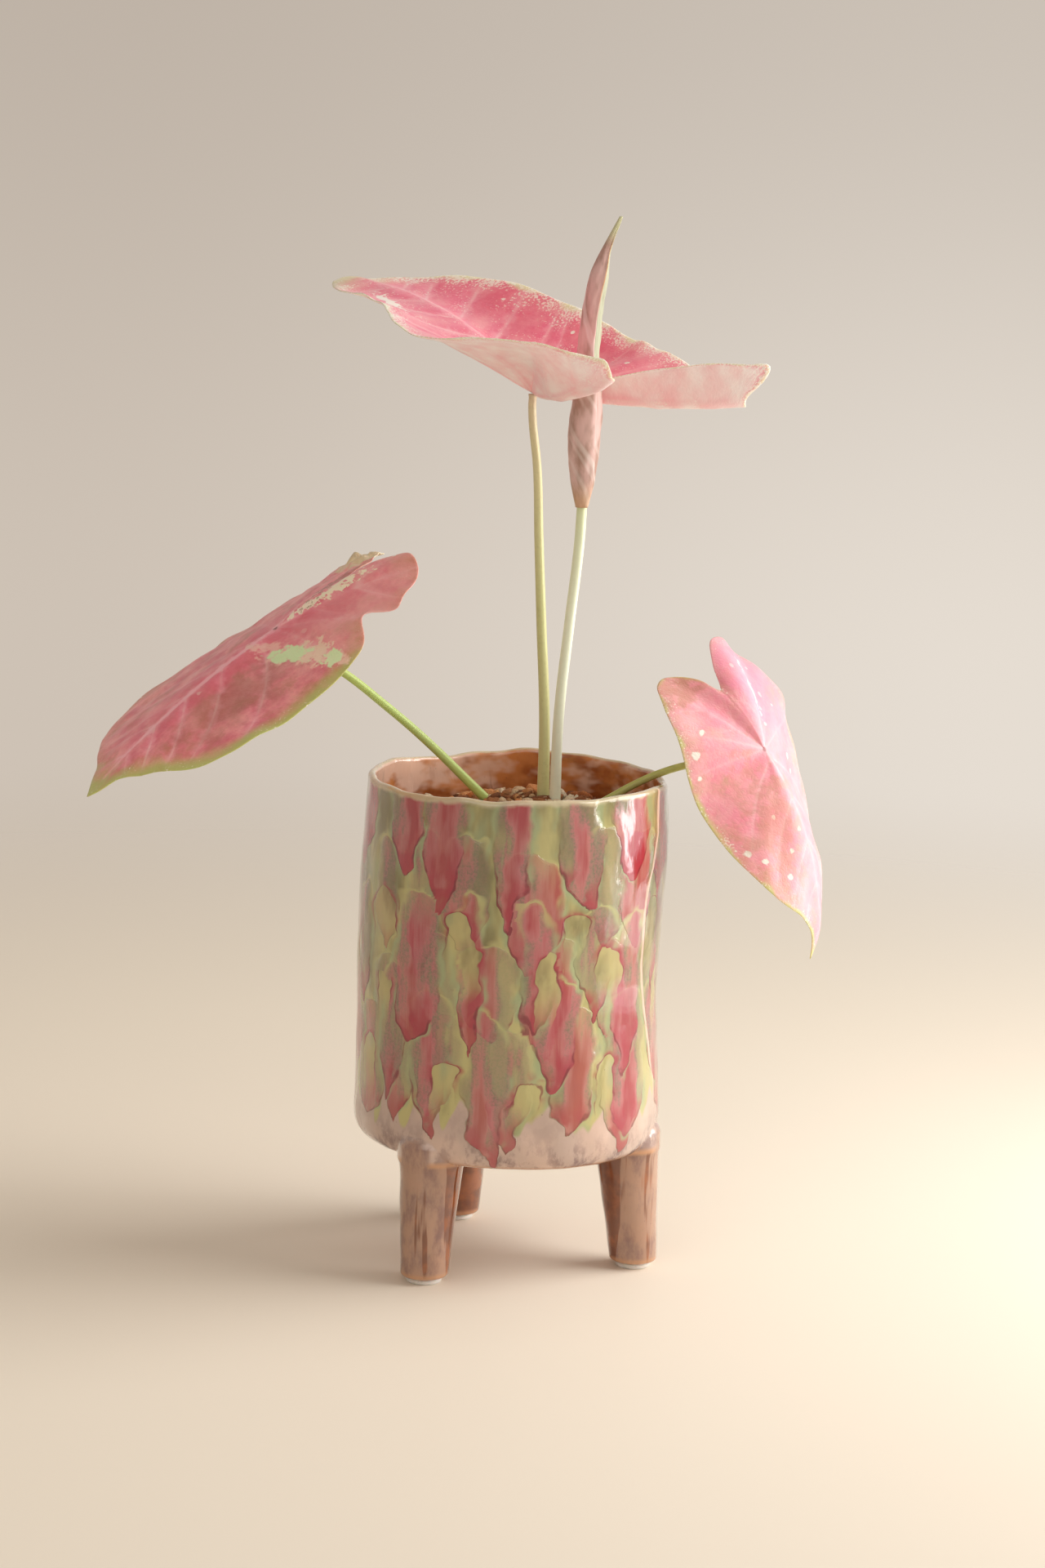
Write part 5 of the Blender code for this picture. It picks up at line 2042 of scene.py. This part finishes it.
    def speckled(self, graph: Graph, flat: Socket, edge: Socket, colour: Socket) -> Socket:
        """Round pale spots, and fine flecks that thicken towards the margin.

        Args:
            graph: The material's graph.
            flat: The place on the flat blade.
            edge: Distance from the margin.
            colour: The colour so far.

        Returns:
            The colour with this laid over it.
        """
        shaky = graph.sway(graph.noise(flat, 1.8, 2.0), 0.5)
        for forward, left, radius in self.spots:
            far = graph.node("ShaderNodeVectorMath", {0: flat, 1: (forward, left, 0.0)}, "Value",
                             operation="DISTANCE")
            near = graph.climb(graph.plus(far, shaky), radius + 0.35, radius - 0.25, 0.0, 0.92)
            colour = graph.mix(near, colour, self.fleck)
        grain = graph.noise(flat, 0.8, 2.0, 0.6)
        crowd = graph.noise(flat, 8.0, 3.0, shift=(7, 3, 0))
        gate = graph.plus(graph.climb(edge, 12.0, 0.5, 0.0, 0.16), graph.times(crowd, 0.5))
        low = 1.10 - 0.22 * self.flecks
        bright = graph.climb(graph.plus(grain, gate), low, low + 0.08)
        return graph.cover(colour, self.fleck, bright, 0.75)

    def bordered(self, graph: Graph, forward: Socket, left: Socket, flat: Socket, edge: Socket,
                 colour: Socket, length: float) -> Socket:
        """The green margin, wider in places, and the green tip.

        Args:
            graph: The material's graph.
            forward: Place along the blade.
            left: Place to the left of its midrib.
            flat: The place on the flat blade.
            edge: Distance from the margin.
            colour: The colour so far.
            length: The blade's length.

        Returns:
            The colour with this laid over it.
        """
        wander = graph.climb(graph.noise(flat, 9.0, 3.0), 0.25, 0.75, -1.6, 1.8)
        band = graph.climb(graph.plus(edge, wander), self.margin_width, 0.0)
        if self.green_side:
            inner, outer = -3.0 * self.green_side, 6.0 * self.green_side
            band = graph.times(band, graph.climb(left, inner, outer, 0.12, 1.0))
        begun = graph.climb(graph.plus(forward, graph.times(wander, 3.0)), self.green_from - 12,
                            self.green_from + 8, 0.1, 1.0)
        band = graph.times(band, begun)
        tip = graph.climb(graph.plus(forward, graph.times(wander, 2.0)),
                          length - self.green_tip, length - 0.25 * self.green_tip)
        return graph.mix(graph.larger(band, tip), colour, self.margin)


@dataclass(frozen=True)
class RolledFinish:
    """The rolled leaf: mauve-brown outside with painted sheen streaks, a pale green strip by its
    free edge.
    """

    mauve: tuple = srgb(176, 138, 122)
    rosy: tuple = srgb(228, 190, 182)
    # pale: the colour of the painted sheen streaks
    pale: tuple = srgb(248, 234, 226)
    strip: tuple = srgb(182, 184, 154)
    amber: tuple = srgb(206, 160, 104)
    green: tuple = srgb(206, 204, 162)

    def material(self) -> bpy.types.Material:
        """The material of the wound sheet."""
        graph = Graph("leaf_rolled_sheet")
        turn, height, face = graph.parts(graph.attribute("rolled", "Vector"))
        here = graph.places()
        cloud = graph.noise(here, 5.0, 3.0, upright=0.4)
        colour = graph.mix(graph.climb(cloud, 0.35, 0.65), self.mauve, self.rosy)
        # Pale oblique streaks: a painted sheen that stands in for highlights on the wound sheet.
        oblique = graph.joined(graph.plus(graph.times(turn, 30.0), graph.times(height, 0.55)),
                               graph.times(height, 0.06))
        painted_sheen_streaks = graph.noise(oblique, 4.5, 2.0)
        colour = graph.mix(graph.climb(painted_sheen_streaks, 0.52, 0.70, 0.0, 0.6), colour, self.pale)
        inner = graph.climb(turn, 0.36, 0.30)
        upper = graph.climb(height, 312.0, 322.0)
        colour = graph.cover(colour, self.strip, inner, upper)
        rim = graph.times(graph.climb(turn, 0.975, 0.995), graph.climb(height, 338.0, 352.0))
        colour = graph.cover(colour, self.amber, rim, 0.8)
        colour = graph.mix(graph.climb(height, 363.0, 370.0), colour, self.green)
        low = graph.climb(height, 284.0, 274.0)
        colour = graph.cover(colour, self.amber, low, 0.6)
        colour = graph.mix(graph.climb(face, 0.0, -0.5, 0.0, 0.6), colour, self.strip)
        normal = graph.bump(graph.noise(here, 2.0, 2.0, upright=0.2), 0.12)
        rough = graph.climb(cloud, 0.3, 0.7, 0.38, 0.52)
        return graph.finish(colour, rough, normal, Specular_IOR_Level=0.4)


@dataclass(frozen=True)
class StalkFinish:
    """A leaf stalk's finish: a row of colours from its foot to its top, faintly streaked."""

    name: str
    colours: tuple
    mottled: float = 0.5

    def material(self) -> bpy.types.Material:
        """The stalk's material."""
        graph = Graph(self.name)
        spun_x, spun_y, along = graph.parts(graph.attribute("stalk", "Vector"))
        streaks = graph.noise(graph.joined(graph.times(spun_x, 2.2), graph.times(spun_y, 2.2),
                                           graph.times(along, 4.0)), 1.3, 3.0)
        colour = graph.ramp(along, self.colours)
        pale = graph.mix(0.35, colour, srgb(236, 232, 204))
        colour = graph.mix(graph.climb(streaks, 0.42, 0.68, 0.0, 0.4), colour, pale)
        mottle = graph.noise(graph.places(), 1.6, 2.0)
        dark = graph.mix(0.3, colour, srgb(96, 92, 40))
        colour = graph.mix(graph.climb(mottle, 0.5, 0.75, 0.0, self.mottled), colour, dark)
        normal = graph.bump(streaks, 0.03)
        return graph.finish(colour, 0.38, normal, Specular_IOR_Level=0.45)


@dataclass(frozen=True)
class GrainFinish:
    """Loose grains or the bed under them: three colours dealt out grain by grain, with painted
    shade in their pits.
    """

    name: str
    colours: tuple
    rough: float = 0.9
    # how strong the painted shade in the pits is
    pit_shade: float = 0.6

    def material(self) -> bpy.types.Material:
        """The grains' material."""
        graph = Graph(self.name)
        here = graph.places()
        tone = graph.attribute("grain")
        dealt = graph.plus(graph.times(tone, 0.8), graph.times(graph.noise(here, 3.0, 2.0), 0.25))
        colour = graph.ramp(dealt, self.colours)
        rough = graph.noise(here, 0.7, 4.0, 0.7)
        # The relief's low spots are darkened: painted shade in the pits.
        pit = graph.climb(rough, 0.55, 0.35)
        dark = graph.mix(0.6, colour, srgb(44, 30, 22))
        colour = graph.mix(graph.times(pit, self.pit_shade), colour, dark)
        normal = graph.bump(rough, 0.5)
        return graph.finish(colour, self.rough, normal, Specular_IOR_Level=0.25)


@dataclass(frozen=True)
class PadFinish:
    """The pads' milky soft plastic, a little scuffed."""

    milk: tuple = srgb(226, 222, 216)
    dust: tuple = srgb(186, 176, 162)

    def material(self) -> bpy.types.Material:
        """The pads' material."""
        graph = Graph("pad_milky")
        here = graph.places()
        dust = graph.climb(graph.noise(here, 2.0, 4.0, 0.65), 0.5, 0.75, 0.0, 0.6)
        colour = graph.mix(dust, self.milk, self.dust)
        normal = graph.bump(graph.noise(here, 0.6, 2.0), 0.05)
        return graph.finish(colour, 0.42, normal, Specular_IOR_Level=0.4, Subsurface_Weight=0.15,
                            Subsurface_Scale=0.001)


# The plant's sizes and looks.

def stops(*rows: tuple) -> tuple:
    """A ramp's stops, from rows of (place, red, green, blue)."""
    return tuple((place, srgb(*colour)) for place, *colour in rows)


LEAF_LEFT = Leaf(
    stalk_point=(-86.9, -14.9, 227.3), heading=206, pitch=-49, roll=-10, length=93,
    width=(0.97, 1.19), sweep=0.19, hook=0, lobe=(-0.06, 0.05), notch=(0.10, 0),
    shoulder=(0.09, 0.09), sinus=0.03, sinus_open=0, sinus_width=10,
    rise=((18, 6, -4, -5, -7, -3, -7), (18, -1, -15, -22, -22, -16, -7)),
    curl=((-3, 8, 3, -4, -12, -21, -20), (-3, 0, -7, -11, -13, -23, -20)))
LEAF_RIGHT = Leaf(
    stalk_point=(86.7, -4.9, 188.8), heading=16, pitch=-72, roll=61, length=74,
    width=(1.18, 0.86), sweep=-0.18, hook=-1.8, lobe=(0.03, -0.03), notch=(0, 0),
    shoulder=(0.03, 0.09), sinus=0.045, sinus_open=0, sinus_width=10,
    rise=((28, -9, -21, -24, -25, -12, -12), (28, 17, -6, -14, -22, -23, -12)),
    curl=((-34, -22, -19, -14, -25, -44, -35), (-34, -3, -12, -12, -24, -37, -35)))
LEAF_TOP = Leaf(
    stalk_point=(0.6, 0.0, 311.8), heading=133, pitch=19, roll=21, length=117,
    width=(0.82, 0.82), sweep=0.06, hook=-1.8, lobe=(-0.11, 0.11), notch=(0, 0),
    shoulder=(-0.08, -0.08), sinus=0, sinus_open=0.5, sinus_width=14,
    rise=((18, 3, 8, 25, 3, 3, 22), (18, 0, 15, 43, 19, 37, 22)),
    curl=((-39, -6, -21, -16, 37, 37, 7), (-39, 60, 52, -2, 14, 2, 7)))

STALKS = {
    "top": LeafStalk(
        ((9.0, 8.0, 166), (8.5, 7.0, 195), (6.1, 5.0, 231), (4.2, 4.0, 261), (2.9, 2.2, 284)),
        (2.1, 1.4), stops((0.0, 208, 210, 150), (0.45, 208, 208, 144), (0.8, 226, 214, 170),
                          (1.0, 228, 206, 172))),
    "left": LeafStalk(
        ((-13.4, 9.0, 167), (-34.1, 4.0, 187), (-48.8, -2.0, 200), (-62.1, -7.0, 210.8)),
        (1.6, 1.4), stops((0.0, 180, 206, 106), (0.6, 188, 214, 116), (1.0, 194, 214, 124))),
    "right": LeafStalk(
        ((28.0, 6.0, 164.5), (43.8, 5.0, 174.2), (52.8, 3.8, 178.5), (60.0, 1.5, 181.2)),
        (1.4, 1.25), stops((0.0, 178, 186, 96), (0.6, 188, 196, 104), (1.0, 202, 204, 122))),
    "rolled": LeafStalk(
        ((13.2, 3.0, 167), (13.5, 0.0, 197), (16.1, -4.0, 232), (18.4, -8.6, 260)),
        (1.9, 1.8), stops((0.0, 240, 250, 224), (0.5, 244, 250, 222), (1.0, 224, 232, 176)))}

MINT = srgb(214, 236, 190)
DRY = srgb(214, 200, 168)
BLADES = {
    "top": (OpenBlade(LEAF_TOP, Veins(), 81,
                      pulled=((-72.0, -42.0, 8.5, (-7.0, 0.0, 1.2)),
                              (-78.5, -34.0, 5.0, (1.5, 0.0, 2.4)),
                              (-54.6, 23.3, 5.0, (-3.6, 0.0, -0.5)),
                              (-51.5, 28.5, 5.0, (0.0, 0.0, 2.2)))),
            BladeFinish(
        "leaf_top_sheet", pink=srgb(240, 160, 168), deep=srgb(230, 118, 142),
        blush=srgb(232, 172, 164), flush=srgb(232, 112, 142),
        vein=srgb(248, 184, 192), margin=srgb(226, 218, 182), under=srgb(254, 234, 230),
        cloudiness=0.2, vein_share=0.8, margin_width=2.6, green_tip=30.0, flecks=1.0,
        spots=((-14.0, -33.0, 0.9), (-26.0, -30.0, 0.7), (30.0, -36.0, 0.6), (58.0, -24.0, 0.5)),
        patches=(Patch((68.0, 14.0), (13.0, 2.6), -22, srgb(250, 234, 224), 0.75, 2.6),
                 Patch((-34.0, -30.0), (7.0, 1.4), 60, srgb(250, 236, 226), 0.9, 2.0)))),
    "left": (OpenBlade(LEAF_LEFT, Veins(front=(0.06, 0.25, 0.44, 0.62, 0.78)), 82,
                       lifted=((-47.0, -22.0, 9.0, 3.6),),
                       pulled=((-28.5, 35.4, 4.6, (2.4, 0.0, -1.6)),
                               (-20.0, 34.5, 3.4, (-1.6, 0.0, 1.2)))),
             BladeFinish(
        "leaf_left_sheet", pink=srgb(242, 170, 170), deep=srgb(214, 114, 130),
        blush=srgb(188, 130, 104), flush=srgb(234, 122, 140),
        vein=srgb(254, 190, 200), margin=srgb(178, 184, 112), under=srgb(206, 178, 146),
        cloudiness=0.52, far_veins=0.4, margin_width=10.0, green_side=1.0, green_from=-6.0,
        green_tip=17.0, flecks=0.25,
        spots=((-4.0, 14.0, 1.0), (38.0, 4.5, 0.7), (-48.0, 12.0, 0.6), (-22.0, 9.0, 0.5)),
        patches=(Patch((-18.0, 22.0), (30.0, 20.0), 0, srgb(232, 180, 174), 0.5, 12.0, 0.5, 0.9),
                 Patch((34.0, 18.0), (26.0, 12.0), 0, srgb(166, 112, 84), 0.5, 9.0, 0.5, 1.1),
                 Patch((24.0, -8.0), (42.0, 7.0), 0, srgb(228, 104, 128), 0.5, 7.0, 0.6, 1.2),
                 Patch((26.0, 5.0), (40.0, 4.0), 0, srgb(226, 104, 126), 0.5, 7.0, 0.5, 1.2),
                 Patch((28.0, 0.0), (48.0, 1.3), 0, srgb(252, 190, 198), 0.4, 5.0, 0.8, 0.7),
                 Patch((-12.0, 12.0), (18.0, 9.0), 160, srgb(222, 112, 130), 0.6, 7.0, 0.5, 1.2),
                 Patch((5.0, 20.0), (20.0, 3.6), 108, srgb(244, 206, 190), 0.8, 5.0, 0.75, 0.7),
                 Patch((0.5, 28.0), (8.0, 4.6), 98, srgb(240, 216, 194), 0.9, 3.4, 0.85, 0.5),
                 Patch((6.0, 17.5), (8.5, 3.6), 112, MINT, 0.6, 4.4, 0.95, 0.4),
                 Patch((0.0, 36.5), (4.6, 3.8), 95, MINT, 0.6, 4.4, 0.95, 0.4),
                 Patch((-13.0, 4.4), (8.5, 1.7), 161, srgb(250, 236, 216), 1.0, 2.6, 0.95),
                 Patch((-26.0, 8.6), (9.5, 2.8), 165, srgb(244, 234, 208), 1.0, 2.6, 0.95),
                 Patch((-30.0, -2.0), (14.0, 3.0), 200, srgb(150, 92, 70), 1.0, 2.6, 0.6),
                 Patch((-51.0, -23.0), (14.0, 13.0), 30, DRY, 0.25, 4.0)))),
    "right": (OpenBlade(LEAF_RIGHT, Veins(front=(0.05, 0.26, 0.48, 0.68)), 83, puff=0.16),
              BladeFinish(
        "leaf_right_sheet", pink=srgb(244, 178, 180), deep=srgb(240, 150, 164),
        blush=srgb(212, 166, 142), flush=srgb(246, 160, 176),
        vein=srgb(250, 188, 196), margin=srgb(206, 200, 138), under=srgb(236, 206, 180),
        cloudiness=0.47, vein_share=0.55, margin_width=2.6, green_side=-1.0, green_tip=5.0,
        flecks=0.45,
        spots=((-14.5, -20.4, 1.0), (-8.0, -27.0, 1.4), (0.3, -28.5, 0.7), (29.0, -27.6, 1.2),
               (34.3, -24.0, 1.1), (43.1, -16.0, 1.1), (10.4, 20.5, 1.0), (30.4, -3.4, 0.9),
               (35.9, -11.0, 0.8), (-16.6, 22.5, 1.0), (-32.0, 12.0, 0.9), (22.0, -12.0, 0.7),
               (-27.0, 31.0, 0.8), (-12.5, 15.0, 0.9), (-7.0, 11.0, 0.7), (-33.5, 22.0, 0.8),
               (16.0, 19.5, 0.9), (-10.0, 24.5, 0.7)),
        patches=(Patch((-28.0, 22.0), (26.0, 22.0), 0, srgb(236, 142, 172), 0.4, 9.0, 0.5, 1.0),
                 Patch((-22.0, 17.0), (11.0, 2.2), 150, srgb(252, 226, 226), 0.9, 3.0, 0.7),
                 Patch((24.0, -12.0), (20.0, 10.0), -20, srgb(200, 154, 126), 1.0, 6.0, 0.5, 1.2),
                 Patch((-34.0, -16.0), (7.0, 11.0), 0, srgb(194, 142, 120), 0.8, 6.0, 0.6, 0.9))))}

GRAIN_LOOKS = {
    Grain.PUMICE: GrainFinish("soil_pumice", stops(
        (0.0, 234, 220, 194), (0.6, 220, 196, 160), (1.0, 204, 172, 130))),
    Grain.CLAY: GrainFinish("soil_clay", stops(
        (0.0, 196, 112, 60), (0.5, 214, 160, 106), (1.0, 164, 88, 48))),
    Grain.BARK: GrainFinish("soil_bark", stops(
        (0.0, 112, 72, 46), (0.5, 146, 92, 56), (1.0, 172, 120, 78)), 0.85, 0.4),
    Grain.CRUMB: GrainFinish("soil_crumb", stops(
        (0.0, 150, 104, 68), (0.5, 186, 140, 96), (1.0, 214, 182, 140)))}


# The picture.

@dataclass(frozen=True)
class Light:
    """A soft rectangular light.

    Attributes:
        name: Its name.
        at: Its place in metres.
        aim: Height of the place on the upright axis that it points at.
        size: Its two sides in metres.
        power: Its power in watts.
        colour: Its colour.
    """

    name: str
    at: tuple
    aim: float
    size: tuple
    power: float
    colour: tuple

    def build(self) -> None:
        """Put the light in the scene."""
        data = bpy.data.lights.new(self.name, "AREA")
        data.shape = "RECTANGLE"
        data.size, data.size_y = self.size
        data.energy = self.power
        data.color = self.colour
        made = new_object(self.name, data)
        turn = (Vector((0.0, 0.0, self.aim)) - Vector(self.at)).to_track_quat("-Z", "Y")
        made.matrix_world = Matrix.Translation(self.at) @ turn.to_matrix().to_4x4()


LIGHTS = (Light("window", (0.95, 0.05, 0.66), 0.16, (1.0, 1.0), 13.0, (1.0, 0.99, 0.97)),
          Light("pane", (0.90, -0.02, 0.16), 0.13, (0.10, 0.30), 0.7, (1.0, 0.99, 0.98)),
          Light("card", (0.38, 0.03, 0.20), 0.15, (0.34, 0.34), 0.44, (1.0, 0.98, 1.0)),
          Light("fill", (-0.5, -1.8, 1.2), 0.2, (1.8, 1.4), 6.5, (1.0, 0.98, 0.97)))


@dataclass
class Studio:
    """The floor, the soft light and the camera."""

    camera_at: tuple = (0.0198, -1.3053, 0.394)
    pitch: float = 9.66
    roll: float = 1.95
    lens: float = 85.0
    sensor: float = 36.0
    floor_colour: tuple = srgb(242, 231, 214)
    shade_side: tuple = srgb(206, 194, 181)
    light_side: tuple = srgb(230, 221, 210)
    dusk: tuple = srgb(176, 164, 152)
    floor_reach: float = 1400.0
    floor_height: float = -0.05
    floor_fade: tuple[float, float] = (1100.0, 330.0)

    def camera(self) -> None:
        """The camera, at the photograph's viewing angle."""
        data = bpy.data.cameras.new("camera")
        data.lens = self.lens
        data.sensor_width = self.sensor
        data.clip_start = 0.05
        made = new_object("camera", data)
        turn = (Matrix.Rotation(radians(90 - self.pitch), 4, "X")
                @ Matrix.Rotation(radians(self.roll), 4, "Z"))
        made.matrix_world = Matrix.Translation(self.camera_at) @ turn
        bpy.context.scene.camera = made

    def floor(self) -> None:
        """A plain pale floor, which fades out into the pale surroundings."""
        ring = polar(once_round(96), self.floor_reach, self.floor_height)
        skin = Skin(np.concatenate([ring, [(0.0, 0.0, self.floor_height)]]),
                    [fan_faces(96, np.arange(96))])
        made = new_object("floor", skin_mesh("floor", skin))
        graph = Graph("floor_plain")
        away = graph.node("ShaderNodeVectorMath", {0: graph.places()}, "Value", operation="LENGTH")
        made.data.materials.append(graph.finish(self.floor_colour, 0.6, Specular_IOR_Level=0.25,
                                                Alpha=graph.climb(away, *self.floor_fade)))

    def surroundings(self) -> None:
        """Pale even surroundings, a little lighter on the window's side; they light softly."""
        world = bpy.data.worlds.new("studio")
        graph = Graph("studio", world)
        way = graph.node("ShaderNodeTexCoord", {}, "Generated")
        side, _, up = graph.parts(way)
        colour = graph.mix(graph.climb(side, -0.14, 0.14), self.shade_side, self.light_side)
        path = graph.node("ShaderNodeLightPath", {}, "Is Camera Ray").node
        dusk = graph.times(graph.climb(up, -0.14, 0.06, 0.0, 0.55), path.outputs["Is Camera Ray"])
        colour = graph.mix(dusk, colour, self.dusk)
        seen = graph.larger(path.outputs["Is Camera Ray"], path.outputs["Is Glossy Ray"])
        graph.plug(graph.shader.inputs["Color"], colour)
        graph.plug(graph.shader.inputs["Strength"], graph.climb(seen, 0.0, 1.0, 0.60, 1.0))
        bpy.context.scene.world = world

    def build(self) -> None:
        """Set up the whole picture."""
        self.camera()
        self.floor()
        self.surroundings()
        for light in LIGHTS:
            light.build()
        bpy.context.scene.view_settings.view_transform = "Standard"


def build_plant() -> list[tuple[float, float, float]]:
    """Build the leaves and their stalks.

    Returns:
        Each stalk's place and radius where it leaves the soil.
    """
    feet = []
    for name, stalk in STALKS.items():
        if name in BLADES:
            blade, finish = BLADES[name]
            way, droop = blade.leaf.facing()
            goal = np.array(blade.leaf.stalk_point) - way * blade.thick / 2
            add_piece("leaf_%s_blade" % name, skin_mesh("leaf_" + name, blade.skin()),
                      finish.material(blade.leaf.length), "leaf_" + name)
        else:
            rolled = RolledBlade()
            way, droop = np.array((0.0, 0.0, 1.0)), 0.0
            goal = np.array(rolled.route[0][0]) + (0, 0, 2.5)
            add_piece("leaf_rolled_sheet", skin_mesh("leaf_rolled", rolled.skin()),
                      RolledFinish().material(), "leaf_rolled")
        mottled = 0.1 if name == "rolled" else 0.3
        finish = StalkFinish("stalk_%s_skin" % name, stalk.colours, mottled)
        add_piece("stalk_%s_tube" % name, skin_mesh("stalk_" + name, stalk.skin(goal, way, droop)),
                  finish.material(), "stalk_" + name)
        feet.append((stalk.route[0][0], stalk.route[0][1], stalk.radii[0]))
    return feet


def build_soil(feet: list[tuple[float, float, float]]) -> None:
    """Build the bed and every kind of grain on it, clear of the stalks' feet.

    Args:
        feet: Each stalk's place and radius where it leaves the soil.
    """
    bed = SoilBed()
    skin = bed.bed()
    skin.paint["grain"] = np.full(len(skin.points), 0.1)
    add_piece("soil_bed", skin_mesh("soil_bed", skin), GRAIN_LOOKS[Grain.BARK].material(),
              "soil")
    for kind in Grain:
        name = "soil_" + kind.value[0]
        add_piece(name + "_grains", skin_mesh(name, bed.grains(kind, np.array(feet))),
                  GRAIN_LOOKS[kind].material(), "soil")


def build_pot() -> None:
    """Build the fired pot and its pads."""
    pot = HandBuiltPot()
    mesh = pot.mesh()
    lay_paint(mesh, pot.paint(mesh_points(mesh)))
    add_piece("planter_pot_glazed", mesh, PotGlaze().material(), "planter_pot")
    finish = PadFinish().material()
    for name, ((x, y), _) in pot.legs.items():
        add_piece("foot_pad_%s_disc" % name, FootPad(x, y).mesh("pad_" + name), finish,
                  "foot_pad_" + name)


def main() -> None:
    """Set up the picture, then build every piece."""
    logging.basicConfig(level=logging.INFO, format="%(name)s: %(message)s")
    Studio().build()
    build_pot()
    build_soil(build_plant())


if __name__ == "__main__":
    main()
